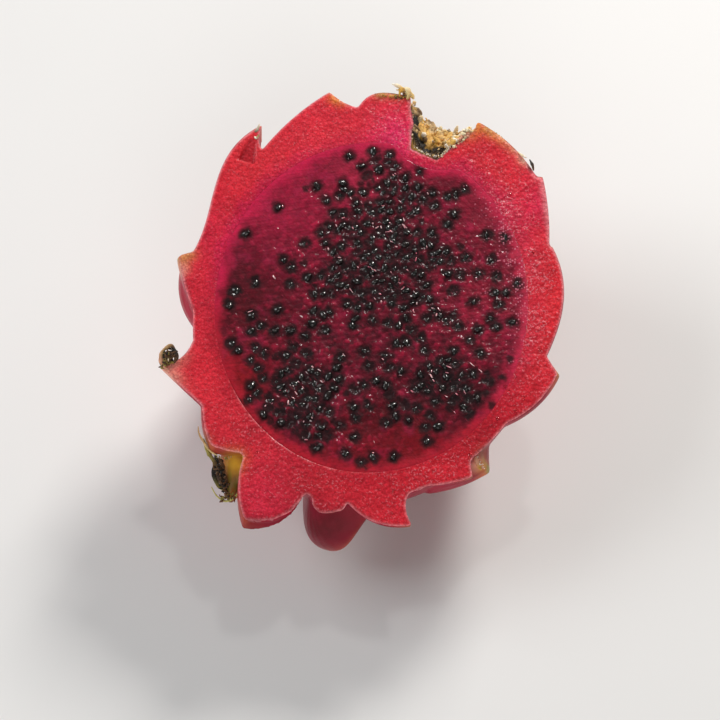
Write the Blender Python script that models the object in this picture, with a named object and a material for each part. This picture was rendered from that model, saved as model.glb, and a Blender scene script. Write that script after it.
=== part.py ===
"""Half of a red-fleshed dragon fruit, cut lengthwise, lying on its rind with the cut face up.

Three solids: the rind with its fleshy bracts, the flesh with its seeds, and the dried lining of the
pit that the flower left. Run it with blender --background --python part.py, or from the text editor.
Lengths are in metres.

The fruit is built about its own axis, which runs from the stem end to the flower end and lies in the
plane of the cut. A place on it is a turn round that axis (0 at the right of the cut, -90 underneath,
-180 at the left of the cut), a reach (distance from the axis) and a rise (height along the axis).
"""

import math
import random
from dataclasses import dataclass

import bmesh
import bpy
import numpy as np
from mathutils import Matrix, Quaternion, Vector

# The whole fruit
RIND_REACH = 0.0476  # from the axis to the outside of the rind, bracts left out
RIND_RISE_TOP = 0.0610  # from the middle to the flower end
RIND_RISE_FOOT = 0.0550  # from the middle to the stem end
FLESH_REACH = 0.0423
FLESH_RISE = 0.0474
FLESH_OFF_CENTRE = 0.0013  # the flesh sits this far towards the flower end
GAP = 0.0003  # between the rind, the flesh and the dried lining

# How the half lies
AXIS_LEAN_DEG = 18.0  # the fruit's axis, seen square to the cut, leans to the right by this
FLESH_LEAN_DEG = 6.0  # and that of the flesh by less
TILT_DEG = 15.0  # the cut face leans forward, towards -Y
PRESS = 0.0006  # the soft rind is pressed flat by this where it rests
LEAF_PRESS = 0.0004  # bracts underneath are bent up until they reach this far below the bare rind

# The pit left by the flower: a cone cut into the flower end
PIT_AXIS_DEG = 65.0  # direction of its axis in the cut, from +X towards +Y
PIT_FLOOR = (0.0148, 0.0454)  # middle of its floor, across and along the cut
PIT_FLOOR_RADIUS = 0.0040
PIT_HALF_ANGLE_DEG = 25.0
PIT_HEIGHT = 0.0300  # enough to leave through the crown
PIT_SKIN = 0.0042  # rind between the floor of the pit and the flesh
DENT_RADIUS = 0.0150
LINING = 0.0013  # thickness of the dried tissue
LINING_RISE = 0.0132  # how far the dried tissue climbs the wall of the pit

# Bracts
SINK = 0.0022  # depth of a bract's foot in the rind
BACK_POINTS = 5  # points of the section from heel to tip
INNER_POINTS = 4  # and from tip to axil
SLICES = 9  # an odd number keeps a section off the plane of the cut
CREEP_DEG = 6.0  # a bract's margins start this much nearer to the flower end than its middle
GOLDEN_DEG = 137.5
SPIRAL_COUNT = 30  # turns of the spiral from stem end to crown, the cut away ones included
SPIRAL_START_DEG = 230.0
SPIRAL_LOW_DEG = -62.0  # latitude of the first bract's heel
SPIRAL_CLIMB_DEG = 100.0  # from there to the last one's
LEAF_HALF_WIDTH = 17.0  # millimetres, as all sizes of bracts
LEAF_LIFT = 8.0  # how far a tip stands off the rind
LEAF_BOW = 2.4
LEAF_HOLLOW = 1.4
LEAF_AXIL_DEG = 19.0  # latitude from heel to axil
LEAF_TIP_DEG = 33.0  # and from heel to tip
CLEAR_OF_CUT_DEG = 28.0  # nearer to the cut than this, the bracts are the ones in CUT_BRACTS


# Seeds, on the cut face
SEED_LENGTH = 0.0025
SEED_WIDTH = 0.0018
SEED_HEIGHT = 0.0013
SEED_SINK = 0.0001
SEED_SPACING = 0.0027
SEED_LIMIT = 0.96  # share of the way from the middle of the flesh to its rim
SEED_DRAW = 11
SEEDS_IN_ALL = 205


@dataclass(frozen=True)
class Bract:
    """A fleshy leaf. Points are (reach, rise) in millimetres, on the section through its middle."""

    turn: float  # degrees round the axis
    half_width: float  # millimetres
    heel: tuple  # where its back leaves the rind
    tip: tuple
    axil: tuple  # where its inner side meets the rind
    bow: float = 1.0  # how far its back bows out, in millimetres
    hollow: float = 1.0  # how far its inner side is hollowed, in millimetres
    arch: float = 1.4  # lower is more pointed


# Bracts that the cut goes through or that stand just behind it, from the stem end up on either side
CUT_BRACTS = (
    Bract(-163, 15, (0.4, -54.6), (13.2, -67.8), (19.5, -49.8), 3.6, -1.8),
    Bract(-176, 9, (19.5, -49.5), (28.0, -51.0), (35.4, -39.6), 0.4, -1.4),
    Bract(-158, 8, (29.5, -44.0), (22.0, -61.0), (18.5, -50.5), -1.0, 0.6, 2.4),
    Bract(-178, 12, (37.0, -39.4), (48.5, -33.4), (41.5, -28.3), 0.2, 0.5),
    Bract(-169, 11, (45.0, -19.0), (56.2, 4.0), (49.5, 4.5), 2.4, 0.6),
    Bract(-178, 16, (47.6, -2.0), (46.3, 41.9), (43.4, 35.0), 5.4, 0.9),
    Bract(-179, 17, (43.6, 34.0), (31.1, 57.0), (22.0, 55.6), 1.3, 0.6),
    Bract(-178, 14, (22.5, 55.2), (7.2, 63.6), (1.0, 60.0), 3.0, -1.0),
    Bract(-72, 13.5, (4.0, -54.8), (25.0, -62.0), (27.5, -47.5), 3.4, -0.4, 2.4),
    Bract(-2, 6, (0.3, -54.6), (8.2, -57.8), (10.2, -53.6), 0.8, -0.4),
    Bract(-2, 13, (10.5, -53.6), (28.0, -54.4), (26.6, -43.2), 2.6, 2.2),
    Bract(-1, 7, (27.5, -43.6), (39.6, -37.0), (38.5, -29.0), 0.7, 0.8),
    Bract(-14, 12, (31.0, -43.0), (44.4, -32.0), (41.5, -25.0), 1.0, 1.0),
    Bract(-3, 14, (44.5, -20.0), (54.6, 0.0), (50.5, 2.0), 1.9, 1.2),
    Bract(-2, 15, (48.4, -6.0), (42.4, 32.6), (40.2, 30.6), 4.8, 0.6),
    Bract(-2, 14, (43.0, 24.0), (33.3, 52.4), (30.6, 51.4), 1.0, 0.4),
    Bract(-2, 15, (31.8, 51.2), (12.2, 61.4), (5.0, 57.0), 1.6, -1.6),
)


# Seeds that stand alone on the cut, and the clusters: middle, spread both ways and share of the rest, in mm
LONE_SEEDS = (
    (-20.0, 40.5), (-25.5, 29.5), (-34.5, 21.5), (-38.0, 17.0), (-24.0, 14.0), (-22.0, 12.0),
    (-39.5, 10.5), (-31.5, 7.5), (-37.0, 5.0), (-22.0, 7.0), (-10.5, 28.0), (-8.0, 27.5),
    (-11.5, 24.0), (-13.5, 9.5), (-11.0, 8.0), (-6.5, 6.5), (-11.0, 4.5), (-15.0, 4.0),
    (-38.5, 1.0), (-32.5, -2.0), (-32.5, -6.5), (-30.0, -5.0), (-26.0, -6.5), (-22.0, -6.5),
    (-25.5, -0.5), (-38.0, -10.0), (-36.0, -12.0), (-29.0, -13.0), (-32.5, -15.0), (-30.5, -17.0),
    (-16.0, -4.5), (-12.5, -6.5), (-11.5, -1.0), (-21.0, -11.0), (-17.5, -13.0),
    (-27.0, -26.0), (-23.0, -23.5), (-20.5, -21.5), (-29.0, -20.0), (-25.5, -20.5), (-24.5, -29.5),
    (-24.0, -32.5), (-20.0, -30.5), (-17.5, -36.0), (-11.5, -36.0), (-14.5, -39.5), (-7.0, -41.0),
    (-4.5, -36.5), (-4.0, -31.0), (-1.0, -27.5), (-2.5, -43.5), (0.5, -42.0), (6.0, -42.0),
    (6.5, -30.5), (4.0, -32.5), (18.0, -33.5), (15.0, -37.5), (1.5, -20.5), (5.0, -17.0),
    (8.0, -18.0), (7.0, -10.0), (4.5, -4.5), (7.5, -5.0), (11.0, -6.5), (13.5, -8.5),
    (15.5, -3.0), (23.5, -5.0), (20.5, -3.5), (32.5, -3.0), (27.0, -9.0), (29.5, -13.0),
    (27.5, -19.0), (31.5, -20.5), (19.0, -15.0), (15.5, -16.5), (12.0, -23.0), (15.0, -23.5),
    (25.5, -23.0), (28.5, -25.5), (17.0, -26.5), (25.0, -28.0), (22.0, -26.0), (23.5, 33.5),
    (26.0, 35.0), (23.0, 27.5), (17.5, 30.0), (13.0, 35.5), (33.0, 29.5), (35.0, 26.0),
    (37.5, 24.5), (32.0, 21.5), (37.0, 20.5), (39.0, 18.5), (20.5, 16.5),
    (26.0, 14.5), (33.0, 14.0), (12.0, 17.0), (29.5, 10.0), (21.0, 10.0), (40.0, 7.0),
    (34.0, 4.5), (36.8, 4.5), (22.5, 5.0), (9.5, 5.0), (3.0, 8.0), (28.0, 2.0),
    (35.0, 1.0), (9.0, 32.0), (0.5, 28.0), (-2.0, 34.0), (-4.0, 31.0),
)
SEED_CLUSTERS = (
    (3.0, 27.0, 7.0, 8.0, 4),
    (2.0, 14.0, 8.0, 7.0, 4),
    (-20.0, -27.0, 8.0, 6.0, 3),
    (20.0, -22.0, 8.0, 5.0, 2),
    (0.0, -3.0, 20.0, 18.0, 2),
)


def unit(degrees):
    """(cosine, sine) of an angle in degrees."""
    return math.cos(math.radians(degrees)), math.sin(math.radians(degrees))


def leaning(degrees):
    """Columns: across the cut, into the fruit and along an axis that leans to the right."""
    c, s = unit(degrees)
    return Matrix(((c, -s, 0.0), (0.0, 0.0, -1.0), (s, c, 0.0))).transposed()


UP = Vector((0.0, 0.0, 1.0))
FRUIT = leaning(AXIS_LEAN_DEG)
FLESH = leaning(FLESH_LEAN_DEG)
ACROSS = FRUIT.col[0]
AXIS = FRUIT.col[2]


def place(turn_deg, reach, rise):
    """The point at this turn, reach and rise."""
    c, s = unit(turn_deg)
    return ACROSS * (reach * c) + UP * (reach * s) + AXIS * rise


def rind_section(latitude):
    """(reach, rise) on the outside of the rind, for an angle seen from the middle of the fruit."""
    c, s = math.cos(latitude), math.sin(latitude)
    return np.array((RIND_REACH * c, (RIND_RISE_TOP if s > 0 else RIND_RISE_FOOT) * s))


def latitude_of(reach, rise):
    half = RIND_RISE_TOP if rise > 0 else RIND_RISE_FOOT
    return math.atan2(rise / half, reach / RIND_REACH)


def collection(name, hidden=False):
    made = bpy.data.collections.new(name)
    bpy.context.scene.collection.children.link(made)
    made.hide_render = hidden
    return made


def mesh_object(name, shape, into):
    """An object in the collection `into`, from a bmesh, which is freed."""
    shape.normal_update()
    bmesh.ops.recalc_face_normals(shape, faces=shape.faces)
    mesh = bpy.data.meshes.new(name)
    shape.to_mesh(mesh)
    shape.free()
    made = bpy.data.objects.new(name, mesh)
    into.objects.link(made)
    return made


def boolean(target, operation, tool=None, tools=None, solver="EXACT"):
    """Adds a Boolean modifier that works with one object or with a whole collection."""
    modifier = target.modifiers.new(operation.lower(), "BOOLEAN")
    modifier.operation = operation
    modifier.solver = solver
    if tools:
        modifier.operand_type = "COLLECTION"
        modifier.collection = tools
    else:
        modifier.object = tool
    return modifier


def apply_modifiers(target):
    graph = bpy.context.evaluated_depsgraph_get()
    mesh = bpy.data.meshes.new_from_object(target.evaluated_get(graph))
    target.modifiers.clear()
    target.data = mesh


def fuse(target, repeats):
    """Joins everything in the collection `repeats` to the target, and removes the collection."""
    boolean(target, "UNION", tools=repeats, solver="MANIFOLD")
    apply_modifiers(target)
    for piece in list(repeats.objects):
        bpy.data.objects.remove(piece)
    bpy.data.collections.remove(repeats)


def egg(name, into, frame, reach, rise_top, rise_foot, off_centre=0.0, around=48, along=24):
    """A solid of revolution: half of one ellipsoid above its middle and half of another below."""
    shape = bmesh.new()
    bmesh.ops.create_uvsphere(shape, u_segments=around, v_segments=along, radius=1.0)
    half_step = math.pi / around  # keeps the ribs of the mesh off the plane of the cut
    bmesh.ops.rotate(shape, verts=shape.verts, matrix=Matrix.Rotation(half_step, 3, "Z"))
    for vertex in shape.verts:
        x, y, z = vertex.co
        rise = z * (rise_top if z > 0 else rise_foot) + off_centre
        vertex.co = frame @ Vector((x * reach, y * reach, rise))
    return mesh_object(name, shape, into)


def pit_cone(name, into, shrink, floor_lift=0.0, height=PIT_HEIGHT):
    """The cone of the flower's pit, with its wall moved inwards by `shrink` and its floor raised."""
    along = Vector((*unit(PIT_AXIS_DEG), 0.0))
    slope = math.radians(PIT_HALF_ANGLE_DEG)
    narrow = PIT_FLOOR_RADIUS + floor_lift * math.tan(slope) - shrink / math.cos(slope)
    tall = height - floor_lift
    shape = bmesh.new()
    bmesh.ops.create_cone(
        shape,
        cap_ends=True,
        segments=20,
        radius1=narrow,
        radius2=narrow + tall * math.tan(slope),
        depth=tall,
    )
    middle = Vector((*PIT_FLOOR, 0.0)) + along * (floor_lift + tall / 2)
    turn = UP.rotation_difference(along) @ Quaternion(UP, math.pi / 20)
    bmesh.ops.transform(shape, verts=shape.verts, matrix=Matrix.LocRotScale(middle, turn, None))
    return mesh_object(name, shape, into)


def half_space(name, into, above=True):
    """A large box that holds all that lies above its origin, or all that lies below it."""
    size = 0.4
    shape = bmesh.new()
    bmesh.ops.create_cube(shape, size=size)
    bmesh.ops.translate(shape, verts=shape.verts, vec=(0, 0, size / 2 if above else -size / 2))
    made = mesh_object(name, shape, into)
    made.display_type = "WIRE"
    made.hide_render = True
    return made


def loft(name, rings, into):
    """A closed skin over a row of rings that have the same number of points."""
    shape = bmesh.new()
    rows = [[shape.verts.new(point) for point in ring] for ring in rings]
    for near, far in zip(rows, rows[1:]):
        for i in range(len(near)):
            j = (i + 1) % len(near)
            shape.faces.new((near[i], near[j], far[j], far[i]))
    shape.faces.new(rows[0])
    shape.faces.new(rows[-1])
    bmesh.ops.triangulate(shape, faces=shape.faces)
    return mesh_object(name, shape, into)


def bent_line(start, end, bow, count):
    """Points of the parabola from start to end that stands `bow` to the left of the chord at its middle."""
    start, end = np.array(start), np.array(end)
    chord = end - start
    side = np.array((-chord[1], chord[0])) / np.linalg.norm(chord)
    steps = np.linspace(0, 1, count)[:, None]
    return start + chord * steps + side * (4 * bow * steps * (1 - steps))


def bract_rings(bract):
    """Sections of a bract, from one margin over its middle to the other.

    The section in its middle is a spur: back, tip, inner side and a foot sunk in the rind. Towards a
    margin the spur shrinks onto its foot, and the foot creeps towards the flower end.
    """
    mm = 0.001
    heel, tip, axil = (np.array(point) * mm for point in (bract.heel, bract.tip, bract.axil))
    back = bent_line(heel, tip, -bract.bow * mm, BACK_POINTS)
    inner = bent_line(tip, axil, bract.hollow * mm, INNER_POINTS)[1:]
    spur = np.vstack((back, inner))
    share = np.linspace(0, 1, len(spur))
    low, high = latitude_of(*heel), latitude_of(*axil)
    reach_here = max(heel[0], axil[0], 0.012)
    half_turn = math.degrees(math.asin(min(0.85, bract.half_width * mm / reach_here)))
    rings = []
    for q in np.linspace(-1, 1, SLICES + 1):
        height = 1 - abs(q) ** bract.arch
        creep = math.radians(CREEP_DEG) * q * q
        foot = np.array([rind_section(low + (high - low) * s + creep) for s in share])
        foot *= 1 - SINK / RIND_REACH
        root = np.array([rind_section(high + creep), rind_section(low + creep)])
        root *= 1 - 2.2 * SINK / RIND_REACH
        section = np.vstack((foot + (spur - foot) * height, root))
        turn = bract.turn + q * half_turn
        rings.append([place(turn, max(reach, 0.0004), rise) for reach, rise in section])
    return rings


def leaf(turn, heel_deg, stand, small):
    """A bract of the hidden back, its heel at this latitude.

    `stand` is 1 where it stands off freely and less where it is pressed to the rind; `small` shrinks it
    towards the crown.
    """
    heel, axil, tip = (
        rind_section(math.radians(heel_deg + step)) * 1000
        for step in (0.0, LEAF_AXIL_DEG * small, LEAF_TIP_DEG * small)
    )
    tip = tip * (1 + LEAF_LIFT * stand / np.linalg.norm(tip))
    bow, hollow = LEAF_BOW * stand, LEAF_HOLLOW * stand
    return Bract(turn, LEAF_HALF_WIDTH * small, tuple(heel), tuple(tip), tuple(axil), bow, hollow)


def spiral_bracts(turn_over, floor):
    """The bracts of the hidden back: a spiral of the golden angle from the stem end to the crown.

    The ones that would reach below the floor are pressed to the rind.
    """
    made = []
    for i in range(SPIRAL_COUNT):
        turn = -((SPIRAL_START_DEG + i * GOLDEN_DEG) % 360.0)
        if not CLEAR_OF_CUT_DEG < -turn < 180 - CLEAR_OF_CUT_DEG:
            continue
        climb = i / (SPIRAL_COUNT - 1)
        heel_deg = SPIRAL_LOW_DEG + SPIRAL_CLIMB_DEG * climb
        for stand in np.arange(1.0, 0.3, -0.05):
            bract = leaf(turn, heel_deg, stand, 1.0 - 0.22 * climb)
            if min((turn_over @ p).z for ring in bract_rings(bract) for p in ring) > floor:
                break
        made.append(bract)
    return made


def make_rind(parts, cutters, turn_over):
    """The rind with its bracts, hollowed for the flesh, open at the pit, and cut in half."""
    rind = egg("rind", parts, FRUIT, RIND_REACH, RIND_RISE_TOP, RIND_RISE_FOOT, around=56, along=28)
    floor = lowest(rind, turn_over)
    bracts = collection("bracts")
    for number, bract in enumerate((*CUT_BRACTS, *spiral_bracts(turn_over, floor - LEAF_PRESS))):
        loft(f"bract_{number:02d}", bract_rings(bract), bracts)
    fuse(rind, bracts)
    pit = pit_cone("pit", cutters, 0.0)
    cavity = flesh_form("cavity", cutters, GAP)
    boolean(rind, "DIFFERENCE", pit)
    boolean(rind, "DIFFERENCE", cavity)
    boolean(rind, "DIFFERENCE", half_space("cut", cutters))
    apply_modifiers(rind)
    return rind, floor + PRESS


def flesh_form(name, into, grow):
    """The flesh as it grew: an egg, dented by a ball where the pit comes down to it."""
    form = egg(
        name,
        into,
        FLESH,
        FLESH_REACH + grow,
        FLESH_RISE + grow,
        FLESH_RISE + grow,
        off_centre=FLESH_OFF_CENTRE,
        around=44,
        along=22,
    )
    along = Vector((*unit(PIT_AXIS_DEG), 0.0))
    middle = Vector((*PIT_FLOOR, 0.0)) + along * (DENT_RADIUS - PIT_SKIN)
    shape = bmesh.new()
    bmesh.ops.create_uvsphere(shape, u_segments=28, v_segments=15, radius=DENT_RADIUS - grow)
    bmesh.ops.translate(shape, verts=shape.verts, vec=middle)
    dent = mesh_object("dent", shape, into)
    boolean(form, "DIFFERENCE", dent)
    apply_modifiers(form)
    bpy.data.objects.remove(dent)
    return form


def rim_share(x, y):
    """How far a point of the cut is from the middle of the flesh, as a share of the way to its rim."""
    across, _, rise = Vector((x, y, 0.0)) @ FLESH
    return math.hypot(across / FLESH_REACH, (rise - FLESH_OFF_CENTRE) / FLESH_RISE)


def seed_places():
    """Middles and turns of the seeds: the ones placed by hand, then a seeded draw round the clusters."""
    draw = random.Random(SEED_DRAW)
    places = [(x * 0.001, y * 0.001) for x, y in LONE_SEEDS]
    places = [(x, y) for x, y in places if rim_share(x, y) < SEED_LIMIT]
    weights = [weight for *_, weight in SEED_CLUSTERS]
    while len(places) < SEEDS_IN_ALL:
        x, y, wide, high, _ = draw.choices(SEED_CLUSTERS, weights)[0]
        spot = (draw.gauss(x, wide) * 0.001, draw.gauss(y, high) * 0.001)
        inside = rim_share(*spot) < SEED_LIMIT
        clear = all(math.hypot(spot[0] - a, spot[1] - b) > SEED_SPACING for a, b in places)
        if inside and clear:
            places.append(spot)
    return [(x, y, draw.uniform(0, math.pi)) for x, y in places]


def make_flesh(parts, cutters):
    """The flesh, cut in half, with its seeds standing out of the cut."""
    flesh = flesh_form("flesh", parts, 0.0)
    cut = half_space("cut_for_flesh", cutters)
    boolean(flesh, "DIFFERENCE", cut)
    apply_modifiers(flesh)
    bpy.data.objects.remove(cut)
    seeds = collection("seeds")
    size = Matrix.Diagonal((SEED_LENGTH, SEED_WIDTH, SEED_HEIGHT, 1.0))
    for number, (x, y, turn) in enumerate(seed_places()):
        shape = bmesh.new()
        bmesh.ops.create_uvsphere(shape, u_segments=6, v_segments=4, radius=0.5)
        matrix = Matrix.Translation((x, y, -SEED_SINK)) @ Matrix.Rotation(turn, 4, "Z") @ size
        bmesh.ops.transform(shape, verts=shape.verts, matrix=matrix)
        mesh_object(f"seed_{number:03d}", shape, seeds)
    fuse(flesh, seeds)
    return flesh


def make_flower_scar(parts, cutters):
    """The dried tissue that lines the pit, a thin cup cut in half."""
    scar = pit_cone("flower_scar", parts, GAP, floor_lift=GAP, height=LINING_RISE)
    hollow = pit_cone("hollow", cutters, GAP + LINING, floor_lift=GAP + LINING)
    cut = half_space("cut_for_scar", cutters)
    boolean(scar, "DIFFERENCE", hollow)
    boolean(scar, "DIFFERENCE", cut)
    apply_modifiers(scar)
    return scar


def material(name, colour, roughness):
    made = bpy.data.materials.new(name)
    made.use_nodes = True
    shader = made.node_tree.nodes["Principled BSDF"]
    shader.inputs["Base Color"].default_value = (*colour, 1.0)
    shader.inputs["Roughness"].default_value = roughness
    shader.inputs["Metallic"].default_value = 0.0
    return made


def lowest(body, turn_over):
    """Height of the lowest corner of a body once it is turned."""
    return min((turn_over @ vertex.co).z for vertex in body.data.vertices)


def lay_down(bodies, cutters, turn_over, floor):
    """Turns the half until its face leans forward, flattens it on the floor and centres it on the origin."""
    rind = bodies[0]
    cut = half_space("floor", cutters, above=False)
    cut.rotation_euler = (-math.radians(TILT_DEG), 0.0, 0.0)
    cut.location = turn_over.inverted() @ Vector((0.0, 0.0, floor))
    bpy.context.view_layer.update()
    boolean(rind, "DIFFERENCE", cut)
    apply_modifiers(rind)
    corners = [turn_over @ vertex.co for vertex in rind.data.vertices]
    middle = [(min(c[i] for c in corners) + max(c[i] for c in corners)) / 2 for i in (0, 1)]
    for body in bodies:
        body.rotation_euler = (math.radians(TILT_DEG), 0.0, 0.0)
        body.location = (-middle[0], -middle[1], -floor)


def main():
    for old in list(bpy.data.objects):
        bpy.data.objects.remove(old)
    parts = collection("dragon_fruit_half")
    cutters = collection("cutters", hidden=True)
    turn_over = Matrix.Rotation(math.radians(TILT_DEG), 3, "X")
    rind, floor = make_rind(parts, cutters, turn_over)
    flesh = make_flesh(parts, cutters)
    scar = make_flower_scar(parts, cutters)
    lay_down((rind, flesh, scar), cutters, turn_over, floor)
    looks = (
        (rind, (0.62, 0.02, 0.05), 0.35),
        (flesh, (0.20, 0.005, 0.03), 0.30),
        (scar, (0.50, 0.33, 0.14), 0.80),
    )
    for body, colour, roughness in looks:
        body.data.materials.append(material(body.name, colour, roughness))
        for polygon in body.data.polygons:
            polygon.use_smooth = True


main()
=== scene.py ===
"""The looks of half a red-fleshed dragon fruit, cut lengthwise and lying on its rind.

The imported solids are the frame. Every shape is worked out in the frame of the cut, in millimetres:
+X across the cut to the right, +Y along it towards the flower end, and +Z out of it. LYING then
turns a finished mesh onto the floor and into metres.
"""

from __future__ import annotations

import itertools
import logging
import math
import random
from collections.abc import Callable, Iterable
from dataclasses import dataclass, field, replace
from enum import Enum

import bpy
import numpy as np
from bpy.types import Material, Mesh, Object
from mathutils import Matrix, Vector


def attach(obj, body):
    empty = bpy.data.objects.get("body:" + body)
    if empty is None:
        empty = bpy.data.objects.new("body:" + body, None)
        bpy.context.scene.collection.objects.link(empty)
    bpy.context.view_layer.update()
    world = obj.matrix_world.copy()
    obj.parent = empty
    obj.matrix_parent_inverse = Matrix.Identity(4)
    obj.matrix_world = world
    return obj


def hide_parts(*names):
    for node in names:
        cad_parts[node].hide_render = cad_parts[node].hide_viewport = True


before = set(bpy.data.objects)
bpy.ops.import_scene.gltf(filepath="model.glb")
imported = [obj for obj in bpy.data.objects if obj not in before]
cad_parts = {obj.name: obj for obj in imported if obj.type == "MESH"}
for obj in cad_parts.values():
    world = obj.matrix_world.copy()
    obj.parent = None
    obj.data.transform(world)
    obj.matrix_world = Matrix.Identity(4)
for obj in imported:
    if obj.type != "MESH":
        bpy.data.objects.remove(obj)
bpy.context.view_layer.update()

Array = np.ndarray
Colour = tuple[float, float, float]
Spot = tuple[float, float]
Place = tuple[float, float, float]
Relief = Callable[[Array], Array]
Inputs = dict[str, object]

LOG = logging.getLogger("dragon_fruit")

ROOT = "root"

# How the half lies in the frame
MM = 0.001
TILT_DEG = 15.0  # the cut face leans forward
MIDDLE = (1.907, -3.320, 47.403)  # millimetres, where the middle of the fruit lies
LYING = (
    Matrix.Translation(Vector(MIDDLE) * MM)
    @ Matrix.Rotation(math.radians(TILT_DEG), 4, "X")
    @ Matrix.Scale(MM, 4)
)

GAP = 0.3  # between the hollow of the rind and the flesh, in millimetres


class Finish(Enum):
    """The record's material slots."""

    RIND = "rind"
    FLESH = "flesh"
    DRIED = "dried_tissue"
    SEED = "seed"
    JUICE = "juice"


def smooth(low: float, high: float, values: Array) -> Array:
    """0 below low, 1 above high, and the cubic 3t^2 - 2t^3 between them."""
    share = np.clip((values - low) / (high - low), 0.0, 1.0)
    return share * share * (3.0 - 2.0 * share)


def mixed(first: Array, second: Array, share: Array) -> Array:
    """A straight blend of two colours, or of two rows of colours.

    Args:
        first: the colours where the share is 0.
        second: the colours where the share is 1.
        share: one number for each row.

    Returns:
        One colour for each row.
    """
    share = np.asarray(share)[..., None]
    return np.asarray(first) * (1.0 - share) + np.asarray(second) * share


def scattered(cells: Array, seed: int) -> Array:
    """Random numbers from 0 to 1 that are always the same for a cell.

    The cell's whole numbers are multiplied by large odd factors, added up and folded twice.

    Args:
        cells: whole numbers, the last axis holding a cell's place.
        seed: another seed gives other numbers.

    Returns:
        One number for each cell.
    """
    factors = np.array((374761393, 668265263, 1442695041), np.int64)[: cells.shape[-1]]
    total = ((cells * factors).sum(-1) + seed * 1013904223) & 0xFFFFFFFF
    total = ((total ^ (total >> 13)) * 1274126177) & 0xFFFFFFFF
    total = total ^ (total >> 16)
    return (total & 0xFFFFFF) / 0xFFFFFF


def lots(count: int, seeds: Iterable[int], other: int = 0) -> list[Array]:
    """Random numbers from 0 to 1 for each of a number of things.

    Args:
        count: how many things there are.
        seeds: a seed for each row.
        other: another number here gives other rows.

    Returns:
        A row of numbers for each seed.
    """
    cells = np.arange(count)[:, None] + np.full((1, 3), other)
    return [scattered(cells, seed) for seed in seeds]


@dataclass(frozen=True)
class Noise:
    """Smooth noise from -1 to 1: random numbers at the corners of a lattice, blended inside its cells."""

    size: float
    seed: int
    octaves: int = 1

    def __call__(self, points: Array) -> Array:
        """Adds up layers, each half as large and half as strong as the one before."""
        total = np.zeros(points.shape[:-1])
        for octave in range(self.octaves):
            layer = self.layer(points * (2.0**octave / self.size), self.seed + octave)
            total += layer * 0.5**octave
        return total / (2.0 - 0.5 ** (self.octaves - 1))

    @staticmethod
    def layer(points: Array, seed: int) -> Array:
        """One lattice: random corner values, blended by 3t^2 - 2t^3 along each side of a cell.

        Args:
            points: places, in cells.
            seed: another seed gives another lattice.

        Returns:
            A number from -1 to 1 for each point.
        """
        low = np.floor(points).astype(np.int64)
        part = smooth(0.0, 1.0, points - low)
        value = np.zeros(points.shape[:-1])
        for corner in itertools.product((0, 1), repeat=points.shape[-1]):
            weight = np.prod(np.where(corner, part, 1.0 - part), axis=-1)
            value += weight * scattered(low + np.array(corner), seed)
        return 2.0 * value - 1.0


def shaken(points: Array, size: float, seeds: Iterable[int], octaves: int = 1) -> Array:
    """A smooth random step at each point, from a noise for each axis."""
    return np.stack([Noise(size, seed, octaves)(points) for seed in seeds], -1)


@dataclass(frozen=True)
class Grains:
    """A packing of rounded grains, one for each square of this size, its middle moved at random."""

    size: float
    seed: int

    def __call__(self, spots: Array) -> tuple[Array, Array]:
        """For each spot, its distance from the nearest grain's middle and that grain's own number.

        Args:
            spots: places on the cut, in millimetres.

        Returns:
            Distances as shares of the size, and numbers from 0 to 1.
        """
        scaled = spots / self.size
        low = np.floor(scaled).astype(np.int64)
        nearest = np.full(len(spots), 9.0)
        number = np.zeros(len(spots))
        for step in itertools.product((-1, 0, 1), repeat=2):
            cell = low + np.array(step)
            middle = cell + np.stack((scattered(cell, self.seed), scattered(cell, self.seed + 1)), -1)
            distance = np.linalg.norm(scaled - middle, axis=-1)
            closer = distance < nearest
            nearest = np.where(closer, distance, nearest)
            number = np.where(closer, scattered(cell, self.seed + 2), number)
        return nearest, number


def grid_faces(rows: int, columns: int, first: int = 0, wrap: bool = False) -> Array:
    """Quads between neighbours on a grid of points that is stored row by row.

    Args:
        rows: number of rows of points.
        columns: number of points in a row.
        first: index of the grid's first point.
        wrap: whether the last point of a row meets the first.

    Returns:
        Four indices for each quad.
    """
    index = first + np.arange(rows * columns).reshape(rows, columns)
    if wrap:
        index = np.hstack((index, index[:, :1]))
    corners = (index[:-1, :-1], index[:-1, 1:], index[1:, 1:], index[1:, :-1])
    return np.stack(corners, -1).reshape(-1, 4)


def border(rows: int, columns: int) -> Array:
    """Indices of the outermost points of a grid, in order round it."""
    index = np.arange(rows * columns).reshape(rows, columns)
    return np.hstack((index[:-1, 0], index[-1, :-1], index[:0:-1, -1], index[0, :0:-1]))


def band(first: Array, second: Array) -> Array:
    """Quads between two closed rings that have as many points each."""
    return np.stack((first, np.roll(first, -1), np.roll(second, -1), second), -1)


def fan(ring: Array, apex: int) -> Array:
    """Triangles between a closed ring and one point."""
    return np.stack((ring, np.roll(ring, -1), np.full(len(ring), apex)), -1)


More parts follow.
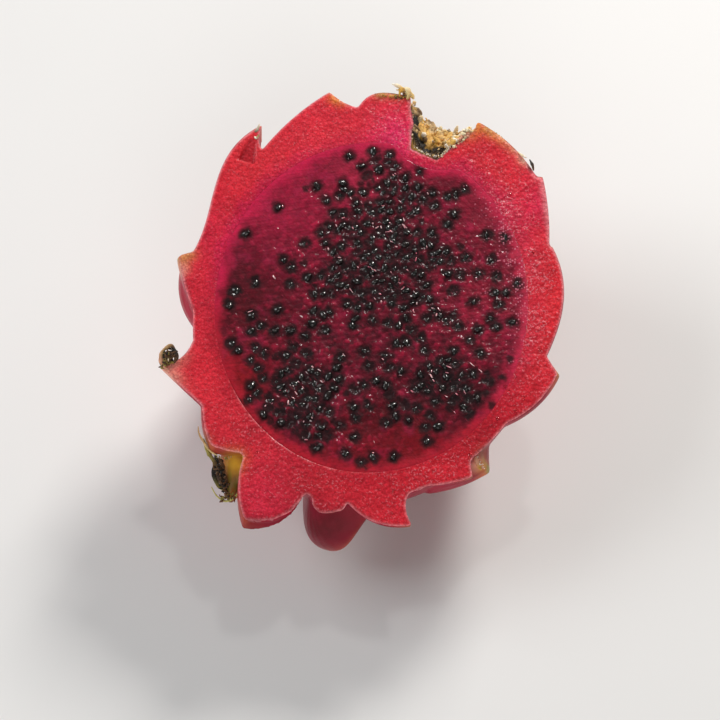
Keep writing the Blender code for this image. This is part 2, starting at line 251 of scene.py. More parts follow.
@dataclass
class Surface:
    """A closed skin: points, faces and a row of four numbers at each point for each channel."""

    points: Array
    faces: list[Array]
    channels: dict[str, Array] = field(default_factory=dict)

    @staticmethod
    def tube(rings: Array) -> Surface:
        """A skin over a row of rings with as many points each, closed by a fan at either end.

        Args:
            rings: the points (rings, points of a ring, 3).

        Returns:
            The skin; its last two points are the middles of the end rings.
        """
        count, around = rings.shape[:2]
        ends = np.stack((rings[0].mean(0), rings[-1].mean(0)))
        near = np.arange(around)
        near_fan = fan(near, count * around)[:, [1, 0, 2]]
        far_fan = fan(near + (count - 1) * around, count * around + 1)
        points = np.vstack((rings.reshape(-1, 3), ends))
        return Surface(points, [grid_faces(count, around, wrap=True), near_fan, far_fan])

    @staticmethod
    def joined(surfaces: list[Surface]) -> Surface:
        """Several skins as one, with the channels that the first of them has."""
        starts = np.cumsum([0] + [len(one.points) for one in surfaces])
        faces = [part + start for one, start in zip(surfaces, starts) for part in one.faces]
        names = surfaces[0].channels
        channels = {name: np.vstack([one.channels[name] for one in surfaces]) for name in names}
        return Surface(np.vstack([one.points for one in surfaces]), faces, channels)

    @staticmethod
    def copies(form: Surface, points: Array) -> Surface:
        """Copies of a form as one skin, from the points of each copy (copies, points, 3)."""
        starts = (np.arange(len(points)) * points.shape[1])[:, None, None]
        faces = [(part[None] + starts).reshape(-1, part.shape[1]) for part in form.outward().faces]
        return Surface(points.reshape(-1, 3), faces)

    def outward(self) -> Surface:
        """Turns the faces round where they enclose a negative volume, and returns the skin itself."""
        volume = 0.0
        for part in self.faces:
            corners = self.points[part]
            for k in range(1, part.shape[1] - 1):
                cross = np.cross(corners[:, k], corners[:, k + 1])
                volume += np.einsum("ij,ij->", corners[:, 0], cross)
        if volume < 0:
            self.faces = [part[:, ::-1] for part in self.faces]
        return self

    def to_object(self, name: str, material: Material | None = None) -> Object:
        """Puts the skin into a mesh, with its channels as attributes.

        Args:
            name: the object's name.
            material: its finish, if it has one yet.

        Returns:
            The object, linked to the scene.
        """
        mesh = bpy.data.meshes.new(name)
        faces = [face for part in self.faces for face in part.tolist()]
        mesh.from_pydata(self.points.tolist(), [], faces)
        for channel, rows in self.channels.items():
            write_colours(mesh, channel, rows)
        if material:
            mesh.materials.append(material)
        return linked(name, mesh)


def linked(name: str, data: bpy.types.ID) -> Object:
    """A new object in the scene."""
    made = bpy.data.objects.new(name, data)
    bpy.context.scene.collection.objects.link(made)
    return made


def write_colours(mesh: Mesh, name: str, rows: Array) -> None:
    """Stores three or four numbers at each point, as a colour attribute."""
    if rows.shape[1] == 3:
        rows = np.hstack((rows, np.ones((len(rows), 1))))
    attribute = mesh.attributes.get(name) or mesh.attributes.new(name, "FLOAT_COLOR", "POINT")
    attribute.data.foreach_set("color", rows.astype(np.float32).ravel())


def read_colours(mesh: Mesh, name: str) -> Array:
    """The four numbers of each point, from a colour attribute."""
    rows = np.empty(len(mesh.vertices) * 4, np.float32)
    mesh.attributes[name].data.foreach_get("color", rows)
    return rows.reshape(-1, 4).astype(float)


def read_points(mesh: Mesh) -> Array:
    """The places of a mesh's points."""
    points = np.empty(len(mesh.vertices) * 3, np.float32)
    mesh.vertices.foreach_get("co", points)
    return points.reshape(-1, 3).astype(float)


def write_points(mesh: Mesh, points: Array) -> None:
    """Moves a mesh's points."""
    mesh.vertices.foreach_set("co", points.astype(np.float32).ravel())
    mesh.update()


def bake_modifiers(target: Object) -> None:
    """Turns what the modifiers make into the object's own mesh."""
    graph = bpy.context.evaluated_depsgraph_get()
    mesh = bpy.data.meshes.new_from_object(target.evaluated_get(graph))
    target.modifiers.clear()
    target.data = mesh


def add_modifier(target: Object, kind: str, **settings: object) -> None:
    """Adds a modifier of this kind, with these settings."""
    modifier = target.modifiers.new(kind.lower(), kind)
    for key, value in settings.items():
        setattr(modifier, key, value)


def carve(target: Object, tool: Object) -> None:
    """Takes the tool away from the target; the new faces keep the tool's material. The tool goes."""
    settings = {"operation": "DIFFERENCE", "solver": "MANIFOLD", "material_mode": "TRANSFER"}
    add_modifier(target, "BOOLEAN", object=tool, **settings)
    bake_modifiers(target)
    bpy.data.objects.remove(tool)


def nearest_distance(points: Array, targets: Array, rows: int = 1500) -> Array:
    """Distance from each point to the nearest of the targets.

    Args:
        points: where to measure from.
        targets: where to measure to.
        rows: how many points are worked out at a time.

    Returns:
        A distance for each point, from |p - t|^2 = |p|^2 + |t|^2 - 2 p.t.
    """
    found = np.empty(len(points))
    squares = (targets**2).sum(-1)
    for start in range(0, len(points), rows):
        block = points[start : start + rows]
        product = (block**2).sum(-1)[:, None] + squares[None] - 2.0 * block @ targets.T
        found[start : start + rows] = np.sqrt(np.maximum(product.min(1), 0.0))
    return found


def lay_down(piece: Object, slot: Finish, replaced: str | None = None) -> None:
    """Turns a finished piece onto the floor, in metres, and hands it to the frame.

    Args:
        piece: an object whose mesh is in the frame of the cut.
        slot: the record's slot; not used.
        replaced: the solid that it stands for, if any.
    """
    piece.data.transform(LYING)
    points = read_points(piece.data)
    points[:, 2] = np.maximum(points[:, 2], 0.0)
    write_points(piece.data, points)
    piece.data.polygons.foreach_set("use_smooth", np.ones(len(piece.data.polygons), bool))
    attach(piece, ROOT)
    if replaced:
        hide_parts(replaced)
    LOG.info("%s: %d points, %d faces", piece.name, len(piece.data.vertices), len(piece.data.polygons))


def arithmetic(operation: str, reflected: bool = False) -> Callable[[Value, object], Value]:
    """Makes a method of Value that adds a Math node.

    Args:
        operation: what the node works out.
        reflected: whether the value is the second number, as in 1 - value.

    Returns:
        The method.
    """

    def method(self: Value, other: object) -> Value:
        """One Math node."""
        first, second = (other, self) if reflected else (self, other)
        return self.shader.node("Math", {"operation": operation}, {0: first, 1: second})

    return method


class Value:
    """A shader socket that takes part in Python sums, each of which adds a Math node."""

    __add__, __radd__ = arithmetic("ADD"), arithmetic("ADD", reflected=True)
    __sub__, __rsub__ = arithmetic("SUBTRACT"), arithmetic("SUBTRACT", reflected=True)
    __mul__, __rmul__ = arithmetic("MULTIPLY"), arithmetic("MULTIPLY", reflected=True)

    def __init__(self, shader: Shader, socket: bpy.types.NodeSocket) -> None:
        """Holds a socket of a shader's node."""
        self.shader = shader
        self.socket = socket

    def between(self, low: float, high: float) -> Value:
        """0 below low and 1 above high, with a soft step between them."""
        settings = {"interpolation_type": "SMOOTHSTEP"}
        return self.shader.node("MapRange", settings, {0: self, 1: low, 2: high})


class Shader:
    """The nodes of one material."""

    def __init__(self, name: str) -> None:
        """Starts a material of this name with no nodes."""
        self.material = bpy.data.materials.new(name)
        self.material.use_nodes = True
        self.tree = self.material.node_tree
        self.tree.nodes.clear()

    def node(
        self,
        kind: str,
        settings: dict[str, object] | None = None,
        inputs: dict[object, object] | None = None,
        output: int | str = 0,
    ) -> Value:
        """Adds a node.

        Args:
            kind: its type, without the leading ShaderNode.
            settings: its own properties.
            inputs: values or links of its sockets, by name or number.
            output: which of its outputs is wanted.

        Returns:
            That output.
        """
        made = self.tree.nodes.new("ShaderNode" + kind)
        for key, value in (settings or {}).items():
            setattr(made, key, value)
        for key, value in (inputs or {}).items():
            if isinstance(value, Value):
                self.tree.links.new(value.socket, made.inputs[key])
            else:
                made.inputs[key].default_value = value
        return Value(self, made.outputs[output])

    def cut_place(self) -> Value:
        """The place in the frame of the cut, in millimetres."""
        position = self.node("TexCoord", output="Object")
        back = LYING.to_3x3().normalized().inverted()
        inputs = {
            "Vector": position,
            "Scale": (1 / MM,) * 3,
            "Rotation": (-math.radians(TILT_DEG), 0.0, 0.0),
            "Location": tuple(-(back @ Vector(MIDDLE))),
        }
        return self.node("Mapping", inputs=inputs)

    def attribute(self, name: str, output: str = "Color") -> Value:
        """A colour attribute of the piece, or its fourth number as the output Alpha."""
        return self.node("Attribute", {"attribute_name": name}, output=output)

    def channels(self, name: str) -> tuple[Value, Value, Value]:
        """The first three numbers of a colour attribute."""
        split = self.node("SeparateColor", inputs={0: self.attribute(name)})
        sockets = split.socket.node.outputs
        return tuple(Value(self, sockets[k]) for k in range(3))

    def noise(self, place: Value, size: float, detail: float = 2.0, rough: float = 0.5) -> Value:
        """Noise with features of about this size, in the units of the place."""
        inputs = {"Vector": place, "Scale": 1.0 / size, "Detail": detail, "Roughness": rough}
        return self.node("TexNoise", inputs=inputs)

    def cells(self, place: Value, size: float, output: str = "Distance") -> Value:
        """Voronoi cells of about this size."""
        inputs = {"Vector": place, "Scale": 1.0 / size}
        return self.node("TexVoronoi", inputs=inputs, output=output)

    def stretched(self, place: Value, turn_deg: float, stretch: Place) -> Value:
        """A place turned about the cut's normal and then shrunk along each axis."""
        turned = self.node("Mapping", inputs={"Vector": place, "Rotation": (0, 0, math.radians(turn_deg))})
        return self.node("Mapping", inputs={"Vector": turned, "Scale": stretch})

    def mix(self, share: object, first: object, second: object, blend: str = "MIX") -> Value:
        """A blend of two colours.

        Args:
            share: how much of the second colour, from 0 to 1.
            first: a colour or a link.
            second: a colour or a link.
            blend: the way of mixing.

        Returns:
            The mixed colour.
        """
        first, second = (self.as_colour(one) for one in (first, second))
        settings = {"data_type": "RGBA", "blend_type": blend}
        return self.node("Mix", settings, {0: share, 6: first, 7: second}, output=2)

    def multiplied(self, share: object, colour: Value, by: Colour) -> Value:
        """A colour multiplied by another, where the share is 1."""
        return self.mix(share, colour, by, "MULTIPLY")

    @staticmethod
    def as_colour(value: object) -> object:
        """Adds the fourth number to a plain colour."""
        return (*value, 1.0) if isinstance(value, tuple) else value

    def bump(self, height: Value, depth: float, strength: float = 1.0, under: Value | None = None) -> Value:
        """A normal bent by a height.

        Args:
            height: a number from 0 to 1.
            depth: what its full range stands for, in millimetres.
            strength: how much of the bend is kept.
            under: another bent normal to start from.

        Returns:
            The normal.
        """
        inputs = {"Height": height, "Distance": depth * MM, "Strength": strength}
        if under:
            inputs["Normal"] = under
        return self.node("Bump", inputs=inputs)

    def principled(self, inputs: Inputs) -> Material:
        """Ends the material in a Principled shader with these inputs."""
        inputs = {key: self.as_colour(value) if "Color" in key else value for key, value in inputs.items()}
        shader = self.node("BsdfPrincipled", inputs=inputs)
        end = self.tree.nodes.new("ShaderNodeOutputMaterial")
        self.tree.links.new(shader.socket, end.inputs["Surface"])
        return self.material


def glow(weight: float, radius: Colour, scale: float) -> Inputs:
    """Light that spreads under a surface, by red, green and blue, this far in millimetres."""
    return {"Subsurface Weight": weight, "Subsurface Radius": radius, "Subsurface Scale": scale * MM}


@dataclass(frozen=True)
class Look:
    """A finish. Each kind of surface has its own inputs for the Principled shader."""

    name: str

    def material(self) -> Material:
        """Builds the nodes."""
        shader = Shader(self.name)
        return shader.principled(self.inputs(shader, self.place(shader)))

    def place(self, shader: Shader) -> Value:
        """Where the patterns lie: in the frame of the cut."""
        return shader.cut_place()

    def inputs(self, shader: Shader, place: Value) -> Inputs:
        """Works out the colour, the roughness and the relief.

        Args:
            shader: the nodes of the material.
            place: where the patterns lie.

        Returns:
            Values and links for the Principled shader, by the names of its sockets.
        """
        raise NotImplementedError


@dataclass(frozen=True)
class SkinFinish(Look):
    """The waxy outside: its colours are the point colours, with fine veins, pores and a soft shine."""

    name: str = "rind_skin"
    veins: float = 58.0
    vein_depth: float = 0.10
    pore_depth: float = 0.05
    wax: float = 0.12

    def inputs(self, shader: Shader, place: Value) -> Inputs:
        """Mottled wax, and veins that run along each bract as a sine of the place across it."""
        across, _, leafy = shader.channels("vein")
        mottle = shader.noise(place, 2.6, 4.0, 0.6)
        fine = shader.noise(place, 0.55, 3.0, 0.6)
        veins = shader.node("Math", {"operation": "SINE"}, {0: across * self.veins + mottle * 5.0})
        veins = (veins * 0.5 + 0.5) * leafy
        colour = shader.attribute("tone")
        colour = shader.multiplied(mottle.between(0.35, 0.75) * 0.35, colour, (0.85, 0.62, 0.66))
        colour = shader.mix(fine.between(0.56, 0.74) * 0.30, colour, (0.95, 0.45, 0.42), "SOFT_LIGHT")
        colour = shader.multiplied(veins * 0.16, colour, (0.55, 0.30, 0.30))
        normal = shader.bump(veins, self.vein_depth, 0.6)
        return {
            "Base Color": colour,
            "Roughness": mottle * 0.22 + 0.28,
            "Normal": shader.bump(fine, self.pore_depth, 0.8, normal),
            "Specular IOR Level": 0.18,
            "Coat Weight": self.wax,
            "Coat Roughness": 0.24,
            **glow(0.12, (1.0, 0.22, 0.18), 2.2),
        }


@dataclass(frozen=True)
class CutRindFinish(Look):
    """The cut through the rind: juicy grains that sparkle, on the point colours, with painted shade between
    the grains and painted sparkle in pale specks.
    """

    name: str = "rind_cut"
    grain: float = 1.0
    grain_depth: float = 0.24

    def inputs(self, shader: Shader, place: Value) -> Inputs:
        """Painted shade in the hollows between round grains, pale specks of painted sparkle, and juice where
        the cut sparkles.
        """
        wet = shader.attribute("tone", "Alpha")
        wide = shader.noise(place, 3.4, 3.0, 0.6)
        fine = shader.noise(place, 0.50, 3.0, 0.6)
        grains = shader.cells(place, self.grain)
        crumbs = shader.noise(place, 0.62, 1.0, 0.5)
        speck = (crumbs + wet * 0.10).between(0.58, 0.74) * wide.between(0.36, 0.60)
        colour = shader.attribute("tone")
        # Painted shade: darker where the fine relief is low, and darker again at the grains' edges, where the
        # bump is lowest.
        hollow = shader.multiplied(1.0, colour, (0.74, 0.58, 0.64))
        colour = shader.mix(fine.between(0.34, 0.60), hollow, colour)
        colour = shader.multiplied(grains.between(0.35, 0.80) * 0.42, colour, (0.62, 0.35, 0.38))
        colour = shader.multiplied(wide.between(0.45, 0.75) * 0.35, colour, (0.80, 0.52, 0.60))
        # Pale pink specks, strongest where the cut is wet: painted sparkle.
        colour = shader.mix(speck * (wet * 0.50 + 0.04), colour, (0.97, 0.34, 0.40))
        height = fine * 0.20 + (1.0 - grains) * 0.80 + speck * 0.3
        return {
            "Base Color": colour,
            "Roughness": 0.40 + fine * 0.20,
            "Normal": shader.bump(height, self.grain_depth, 1.0),
            "Specular IOR Level": 0.15,
            "Coat Weight": (wide.between(0.30, 0.65) * 0.6 + 0.4) * (wet * 0.75 + 0.10),
            "Coat Roughness": 0.17,
            **glow(0.25, (1.0, 0.16, 0.16), 2.4),
        }


@dataclass(frozen=True)
class FleshFinish(Look):
    """The wet flesh: knife streaks, pulp cells and a thin film of juice over the point colours, with painted
    glints on slivers and painted sparkle in pale specks.
    """

    name: str = "flesh"
    streak_turn_deg: float = -9.0
    streak_depth: float = 0.16
    glint_turn_deg: float = 48.0
    glint_depth: float = 0.12
    speck: float = 0.6

    def inputs(self, shader: Shader, place: Value) -> Inputs:
        """Noise stretched along the knife's way, slivers across it lightened as painted glints, and a pale
        speck in some of the cells as painted sparkle.
        """
        wet = shader.attribute("tone", "Alpha")
        knife = shader.stretched(place, self.streak_turn_deg, (0.13, 1.0, 1.0))
        streaks = shader.noise(knife, 0.62, 3.0, 0.6)
        glint = shader.stretched(place, self.glint_turn_deg, (0.28, 1.0, 1.0))
        slivers = shader.noise(glint, 0.42, 2.0, 0.5)
        wide = shader.noise(place, 4.2, 3.0, 0.6)
        pulp = shader.cells(place, 0.85)
        lot = shader.node("SeparateColor", inputs={0: shader.cells(place, self.speck, output="Color")})
        speck = (lot + wet * 0.60).between(1.10, 1.36)
        speck = speck * (1.0 - shader.cells(place, self.speck).between(0.20, 0.60))
        colour = shader.attribute("tone")
        colour = shader.multiplied(streaks.between(0.38, 0.66) * 0.35, colour, (0.55, 0.42, 0.50))
        # Lighter slivers across the knife's way: painted glints.
        colour = shader.mix(slivers.between(0.62, 0.78) * 0.28, colour, (0.50, 0.03, 0.08))
        colour = shader.multiplied(pulp.between(0.35, 0.85) * 0.35, colour, (0.55, 0.45, 0.50))
        # Pale pink specks, more where the flesh is wet: painted sparkle.
        colour = shader.mix(speck * 0.6, colour, (0.92, 0.26, 0.36))
        normal = shader.bump(streaks, self.streak_depth, 0.8)
        return {
            "Base Color": colour,
            "Roughness": 0.40 + streaks * 0.20,
            "Normal": shader.bump(slivers + speck, self.glint_depth, 0.8, normal),
            "Specular IOR Level": 0.12,
            "Coat Weight": (wide.between(0.35, 0.60) * 0.6 + 0.3) * (wet + 0.45),
            "Coat Roughness": 0.08,
            **glow(0.20, (1.0, 0.10, 0.16), 1.8),
        }


@dataclass(frozen=True)
class SeedFinish(Look):
    """Black seed coats, finely pitted, under a film of juice."""

    name: str = "seed"
    pit: float = 0.16

    def inputs(self, shader: Shader, place: Value) -> Inputs:
        """Two near blacks, and pits as deep as they are wide."""
        wide = shader.noise(place, 1.4, 2.0)
        pits = shader.cells(place, self.pit)
        return {
            "Base Color": shader.mix(wide.between(0.35, 0.75), (0.004, 0.0045, 0.004), (0.016, 0.010, 0.009)),
            "Roughness": 0.34 + wide * 0.2,
            "Normal": shader.bump(pits * 0.5 + shader.noise(place, 0.5), self.pit, 1.0),
            "Specular IOR Level": 0.12,
            "Coat Weight": wide.between(0.18, 0.42),
            "Coat Roughness": 0.10,
        }


@dataclass(frozen=True)
class ThreadFinish(Look):
    """The short pale threads that the seeds hung on, wet; their pale pink is partly their own colour and
    partly painted highlight, standing for glints.
    """

    name: str = "seed_thread_and_glint"

    def inputs(self, shader: Shader, place: Value) -> Inputs:
        """Red to pale pink under juice."""
        wide = shader.noise(place, 1.2, 2.0)
        return {
            "Base Color": shader.mix(wide.between(0.3, 0.7), (0.62, 0.10, 0.16), (0.96, 0.60, 0.60)),
            "Roughness": 0.22 + wide * 0.1,
            "Coat Weight": 1.0,
            "Coat Roughness": 0.06,
            **glow(0.3, (1.0, 0.4, 0.4), 0.8),
        }


@dataclass(frozen=True)
class DriedFinish(Look):
    """Papery tissue, fibrous and dull, on the point colours."""

    name: str = "dried_tissue"
    fibre_depth: float = 0.20

    def inputs(self, shader: Shader, place: Value) -> Inputs:
        """Brown patches, pale fibres and a rough relief."""
        fine = shader.noise(place, 0.34, 4.0, 0.65)
        wide = shader.noise(place, 1.1, 3.0, 0.6)
        colour = shader.attribute("tone")
        colour = shader.multiplied(wide.between(0.40, 0.70) * 0.5, colour, (0.52, 0.34, 0.18))
        colour = shader.mix(fine.between(0.56, 0.78) * 0.35, colour, (0.94, 0.80, 0.52))
        return {
            "Base Color": colour,
            "Roughness": 0.62 + fine * 0.3,
            "Normal": shader.bump(fine, self.fibre_depth, 0.9),
            **glow(0.12, (1.0, 0.6, 0.3), 0.8),
        }


@dataclass(frozen=True)
class JuiceFinish(Look):
    """Clear pink juice."""

    name: str = "juice"

    def inputs(self, shader: Shader, place: Value) -> Inputs:
        """A clear, nearly smooth liquid that is hardly tinted."""
        wide = shader.noise(place, 0.8, 2.0)
        return {
            "Base Color": shader.mix(wide, (1.0, 0.72, 0.74), (1.0, 0.86, 0.86)),
            "Roughness": wide * 0.04 + 0.01,
            "Transmission Weight": 1.0,
            "IOR": 1.34,
        }


@dataclass(frozen=True)
class FloorFinish(Look):
    """A plain pale floor."""

    name: str = "floor"

    def place(self, shader: Shader) -> Value:
        """The floor's own place, in metres."""
        return shader.node("TexCoord", output="Object")

    def inputs(self, shader: Shader, place: Value) -> Inputs:
        """Two greys that hardly differ."""
        wide = shader.noise(place, 0.12, 3.0)
        return {
            "Base Color": shader.mix(wide, (0.74, 0.735, 0.725), (0.78, 0.775, 0.765)),
            "Roughness": 0.6,
        }


@dataclass(frozen=True)
class Egg:
    """A solid of revolution: half of one ellipsoid above its middle and half of another below.

    A place on it is a turn round its axis (0 at the right of the cut, -90 underneath, -180 at the
    left of the cut), a reach from the axis and a rise along it, in millimetres.
    """

    reach: float
    top: float
    foot: float
    lean_deg: float
    off_centre: float = 0.0

    @property
    def axes(self) -> Array:
        """Rows: across the cut, out of the cut, and along the egg's own axis."""
        lean = math.radians(self.lean_deg)
        c, s = math.cos(lean), math.sin(lean)
        return np.array(((c, -s, 0.0), (0.0, 0.0, 1.0), (s, c, 0.0)))

    @property
    def middle(self) -> Array:
        """The spot on the cut where the two halves of ellipsoids meet."""
        return self.axes[2, :2] * self.off_centre

    def place(self, turn_deg: Array, reach: Array, rise: Array) -> Array:
        """The points at these turns, reaches and rises."""
        turn = np.radians(turn_deg)
        parts = np.broadcast_arrays(reach * np.cos(turn), reach * np.sin(turn), rise)
        return np.stack(parts, -1) @ self.axes

    def section(self, latitude: Array) -> Array:
        """(reach, rise) on the egg for an angle seen from its middle."""
        half = np.where(np.sin(latitude) > 0, self.top, self.foot)
        rise = half * np.sin(latitude) + self.off_centre
        return np.stack((self.reach * np.cos(latitude), rise), -1)

    def latitude_of(self, spot: Spot) -> float:
        """The angle of a (reach, rise), seen from the middle."""
        half = self.top if spot[1] > 0 else self.foot
        return math.atan2(spot[1] / half, spot[0] / self.reach)

    def share(self, spots: Array) -> Array:
        """How far spots of the cut are from the egg's middle, as a share of the way to its rim."""
        across, along = self.axes[0, :2], self.axes[2, :2]
        rise = spots @ along - self.off_centre
        return np.hypot(spots @ across / self.reach, rise / np.where(rise > 0, self.top, self.foot))

    def surface(self, around: int, along: int) -> Surface:
        """The egg as rings of equal latitude, with this many points around it and this many rings."""
        latitude = np.radians(np.linspace(-89.0, 89.0, along))[:, None]
        spots = self.section(latitude)
        turn = np.linspace(0.0, 360.0, around, endpoint=False)[None]
        return Surface.tube(self.place(turn, spots[..., 0], spots[..., 1]))


RIND = Egg(47.6, 61.0, 55.0, 18.0)
FLESH = Egg(42.3, 47.4, 47.4, 6.0, 1.3)


@dataclass(frozen=True)
class Pit:
    """The cone that the flower left, on an axis in the plane of the cut. It dents the flesh like a ball."""

    axis_deg: float = 65.0
    floor: Spot = (14.8, 45.4)
    radius: float = 4.0
    slope_deg: float = 25.0
    length: float = 30.0
    dent_radius: float = 15.0
    skin: float = 4.2

    @property
    def axes(self) -> Array:
        """Rows: across the pit, out of the cut, and along the pit's axis."""
        turn = math.radians(self.axis_deg)
        c, s = math.cos(turn), math.sin(turn)
        return np.array(((s, -c, 0.0), (0.0, 0.0, 1.0), (c, s, 0.0)))

    @property
    def dent_middle(self) -> Array:
        """Middle of the ball that dents the flesh, which leaves a skin under the pit's floor."""
        return np.array(self.floor) + self.axes[2, :2] * (self.dent_radius - self.skin)

    def place(self, turn: Array, radius: Array, height: Array) -> Array:
        """Points at this turn round the pit's axis, distance from it and height above the floor."""
        parts = np.broadcast_arrays(radius * np.cos(turn), radius * np.sin(turn), height)
        return np.array((*self.floor, 0.0)) + np.stack(parts, -1) @ self.axes

    def wall(self, height: Array) -> Array:
        """Radius of the cone at a height."""
        return self.radius + height * math.tan(math.radians(self.slope_deg))

    def cutter(self, around: int = 72, along: int = 40) -> Surface:
        """The whole cone, its wall drawn in by up to 13% where a noise is high.

        Args:
            around: number of points round the axis.
            along: number of rings.

        Returns:
            The closed cone.
        """
        turn = np.linspace(0.0, math.tau, around, endpoint=False)[None]
        height = np.linspace(0.0, self.length, along)[:, None]
        rings = self.place(turn, self.wall(height), height)
        uneven = 1.0 - 0.13 * smooth(-0.2, 0.7, Noise(2.6, 31, 2)(rings))[..., None]
        middle = self.place(turn, 0.0, height)
        return Surface.tube(middle + (rings - middle) * uneven).outward()


PIT = Pit()


def flesh_gap(spots: Array) -> Array:
    """Distance of spots of the cut from the flesh, in millimetres, and below 0 inside it.

    Outside the egg it is the share past the rim times the egg's reach. Under the pit it is how far the
    spot lies inside the ball that dents the flesh.
    """
    past_rim = (FLESH.share(spots) - 1.0) * FLESH.reach
    in_dent = PIT.dent_radius - np.linalg.norm(spots - PIT.dent_middle, axis=-1)
    return np.maximum(past_rim, in_dent)


def bent_line(start: Spot, end: Spot, bow: float, steps: Array, skew: float = 0.0) -> Array:
    """Points of a bent line. At a share s of the way it stands off by 4 bow s (1 - s) (1 + skew (2s - 1)).

    Args:
        start: where it starts.
        end: where it ends.
        bow: how far its middle stands to the left of the chord.
        steps: the shares of the way.
        skew: above 0, it bows out more towards its end.

    Returns:
        A point for each share.
    """
    start, end = np.array(start), np.array(end)
    chord = end - start
    side = np.array((-chord[1], chord[0])) / np.linalg.norm(chord)
    steps = steps[:, None]
    stand_off = 4.0 * bow * steps * (1.0 - steps) * (1.0 + skew * (2.0 * steps - 1.0))
    return start + chord * steps + side * stand_off


@dataclass(frozen=True)
class Bract:
    """A fleshy leaf. Its points are (reach, rise) in millimetres, on the section through its middle.

    It runs from its heel over the back to the tip, whose bluntness is a length, and down its inner side
    to the axil. The bow and the hollow are how far back and inner side stand off from their chords.
    """

    turn: float
    half_width: float
    heel: Spot
    tip: Spot
    axil: Spot
    bow: float = 1.0
    hollow: float = 1.0
    ripe: float = 0.5
    arch: float = 1.4
    skew: float = 0.0
    blunt: float = 0.6

    SLICES = 45
    BACK = 17
    INNER = 12
    SINK = 2.2  # how far the foot lies under the rind, and the root below that
    ROOT_SINK = 4.84
    LEAST_REACH = 12.0
    WIDEST_SINE = 0.85
    OFF_AXIS = 0.4
    CREEP_DEG = 6.0
    TIP_SHARE = 4 / 7
    REMESH_LOSS = 0.7  # what the remesh takes off a tip
    MARGIN = 1.1
    EDGE_FADE = 3.5

    @property
    def heading(self) -> Array:
        """The direction from the middle of the foot to the tip."""
        middle = (np.array(self.heel) + self.axil) / 2.0
        return (self.tip - middle) / np.linalg.norm(self.tip - middle)

    @property
    def across_tip(self) -> Array:
        """The direction across the tip, from its inner side to its back."""
        across = np.subtract(self.heel, self.axil)
        across = across - self.heading * (across @ self.heading)
        return across / np.linalg.norm(across)

    def rings(self, slices: int = SLICES, back: int = BACK, inner: int = INNER) -> Array:
        """Sections from one margin over the middle to the other.

        The middle section is a spur: back, tip, inner side, and a root under the rind. Towards a margin,
        where q is -1 or 1, it shrinks onto its foot by 1 - |q|^arch, and the foot creeps towards the
        flower end by CREEP_DEG times q squared. The free edge thins out to MARGIN and no further.

        Args:
            slices: number of sections.
            back: number of points from heel to tip.
            inner: number of points from the blunt tip to the axil.

        Returns:
            Points, a row for each section.
        """
        line = np.linspace(0.0, 1.0, back)
        return_line = np.linspace(0.0, 1.0, inner)
        inner_tip = self.tip - self.across_tip * self.blunt
        outer_side = bent_line(self.heel, self.tip, -self.bow, line, self.skew)
        inner_side = bent_line(inner_tip, self.axil, self.hollow, return_line)
        spur = np.vstack((outer_side, inner_side))
        share = np.hstack((line * self.TIP_SHARE, self.TIP_SHARE + return_line * (1.0 - self.TIP_SHARE)))
        q = np.linspace(-1.0, 1.0, slices)[:, None]
        low, high = RIND.latitude_of(self.heel), RIND.latitude_of(self.axil)
        creep = math.radians(self.CREEP_DEG) * q * q
        foot = RIND.section(low + (high - low) * share[None] + creep) * (1.0 - self.SINK / RIND.reach)
        root = RIND.section(np.hstack((high + creep, low + creep))) * (1.0 - self.ROOT_SINK / RIND.reach)
        height = (1.0 - np.abs(q) ** self.arch)[..., None]
        keep = np.hstack((np.zeros(back), 1.0 - return_line))[None, :, None]
        edge = self.across_tip * (self.MARGIN * (1.0 - height) * smooth(0.0, 0.25, height)) * keep
        section = np.concatenate((foot + (spur[None] - foot) * height - edge, root), axis=1)
        reach_here = max(self.heel[0], self.axil[0], self.LEAST_REACH)
        half_turn = math.degrees(math.asin(min(self.WIDEST_SINE, self.half_width / reach_here)))
        reach = np.maximum(section[..., 0], self.OFF_AXIS)
        return RIND.place(self.turn + q * half_turn, reach, section[..., 1])

    def surface(self, number: int) -> Surface:
        """The bract with the channels that its colours need.

        Channel leaf holds how near the tip a point is, how near the free edge, whether it is on the inner
        side, and the bract's ripeness. Channel vein holds the place across the leaf, the bract's own
        random number, and 1 for leaf.

        Args:
            number: the bract's own number.

        Returns:
            The closed skin.
        """
        longer = replace(self, tip=tuple(self.tip + self.heading * self.REMESH_LOSS))
        made = Surface.tube(longer.rings())
        q = np.linspace(-1.0, 1.0, self.SLICES)[:, None]
        out = np.linspace(0.0, 1.0, self.BACK)
        run = np.hstack((out, np.linspace(1.0, 0.0, self.INNER), (0.0, 0.0)))[None]
        inside = np.hstack((smooth(0.92, 1.0, out), np.ones(self.INNER), (0.0, 0.0)))[None]
        near_tip = run * (1.0 - np.abs(q) ** self.arch)
        length = np.linalg.norm(np.subtract(self.tip, self.heel))
        edge = np.exp(-(1.0 - run) * length / self.EDGE_FADE) * np.ones_like(q)
        lot = scattered(np.array([[number, 7, 3]]), 5)[0]
        leafy = smooth(0.05, 0.3, near_tip)
        rows = {"leaf": (near_tip, edge, inside, self.ripe), "vein": ((q + 1.0) / 2.0, lot, leafy, 1.0)}
        for name, parts in rows.items():
            row = np.stack(np.broadcast_arrays(*parts), -1)
            ends = row[[0, -1]].mean(1)
            made.channels[name] = np.vstack((row.reshape(-1, 4), ends))
        return made


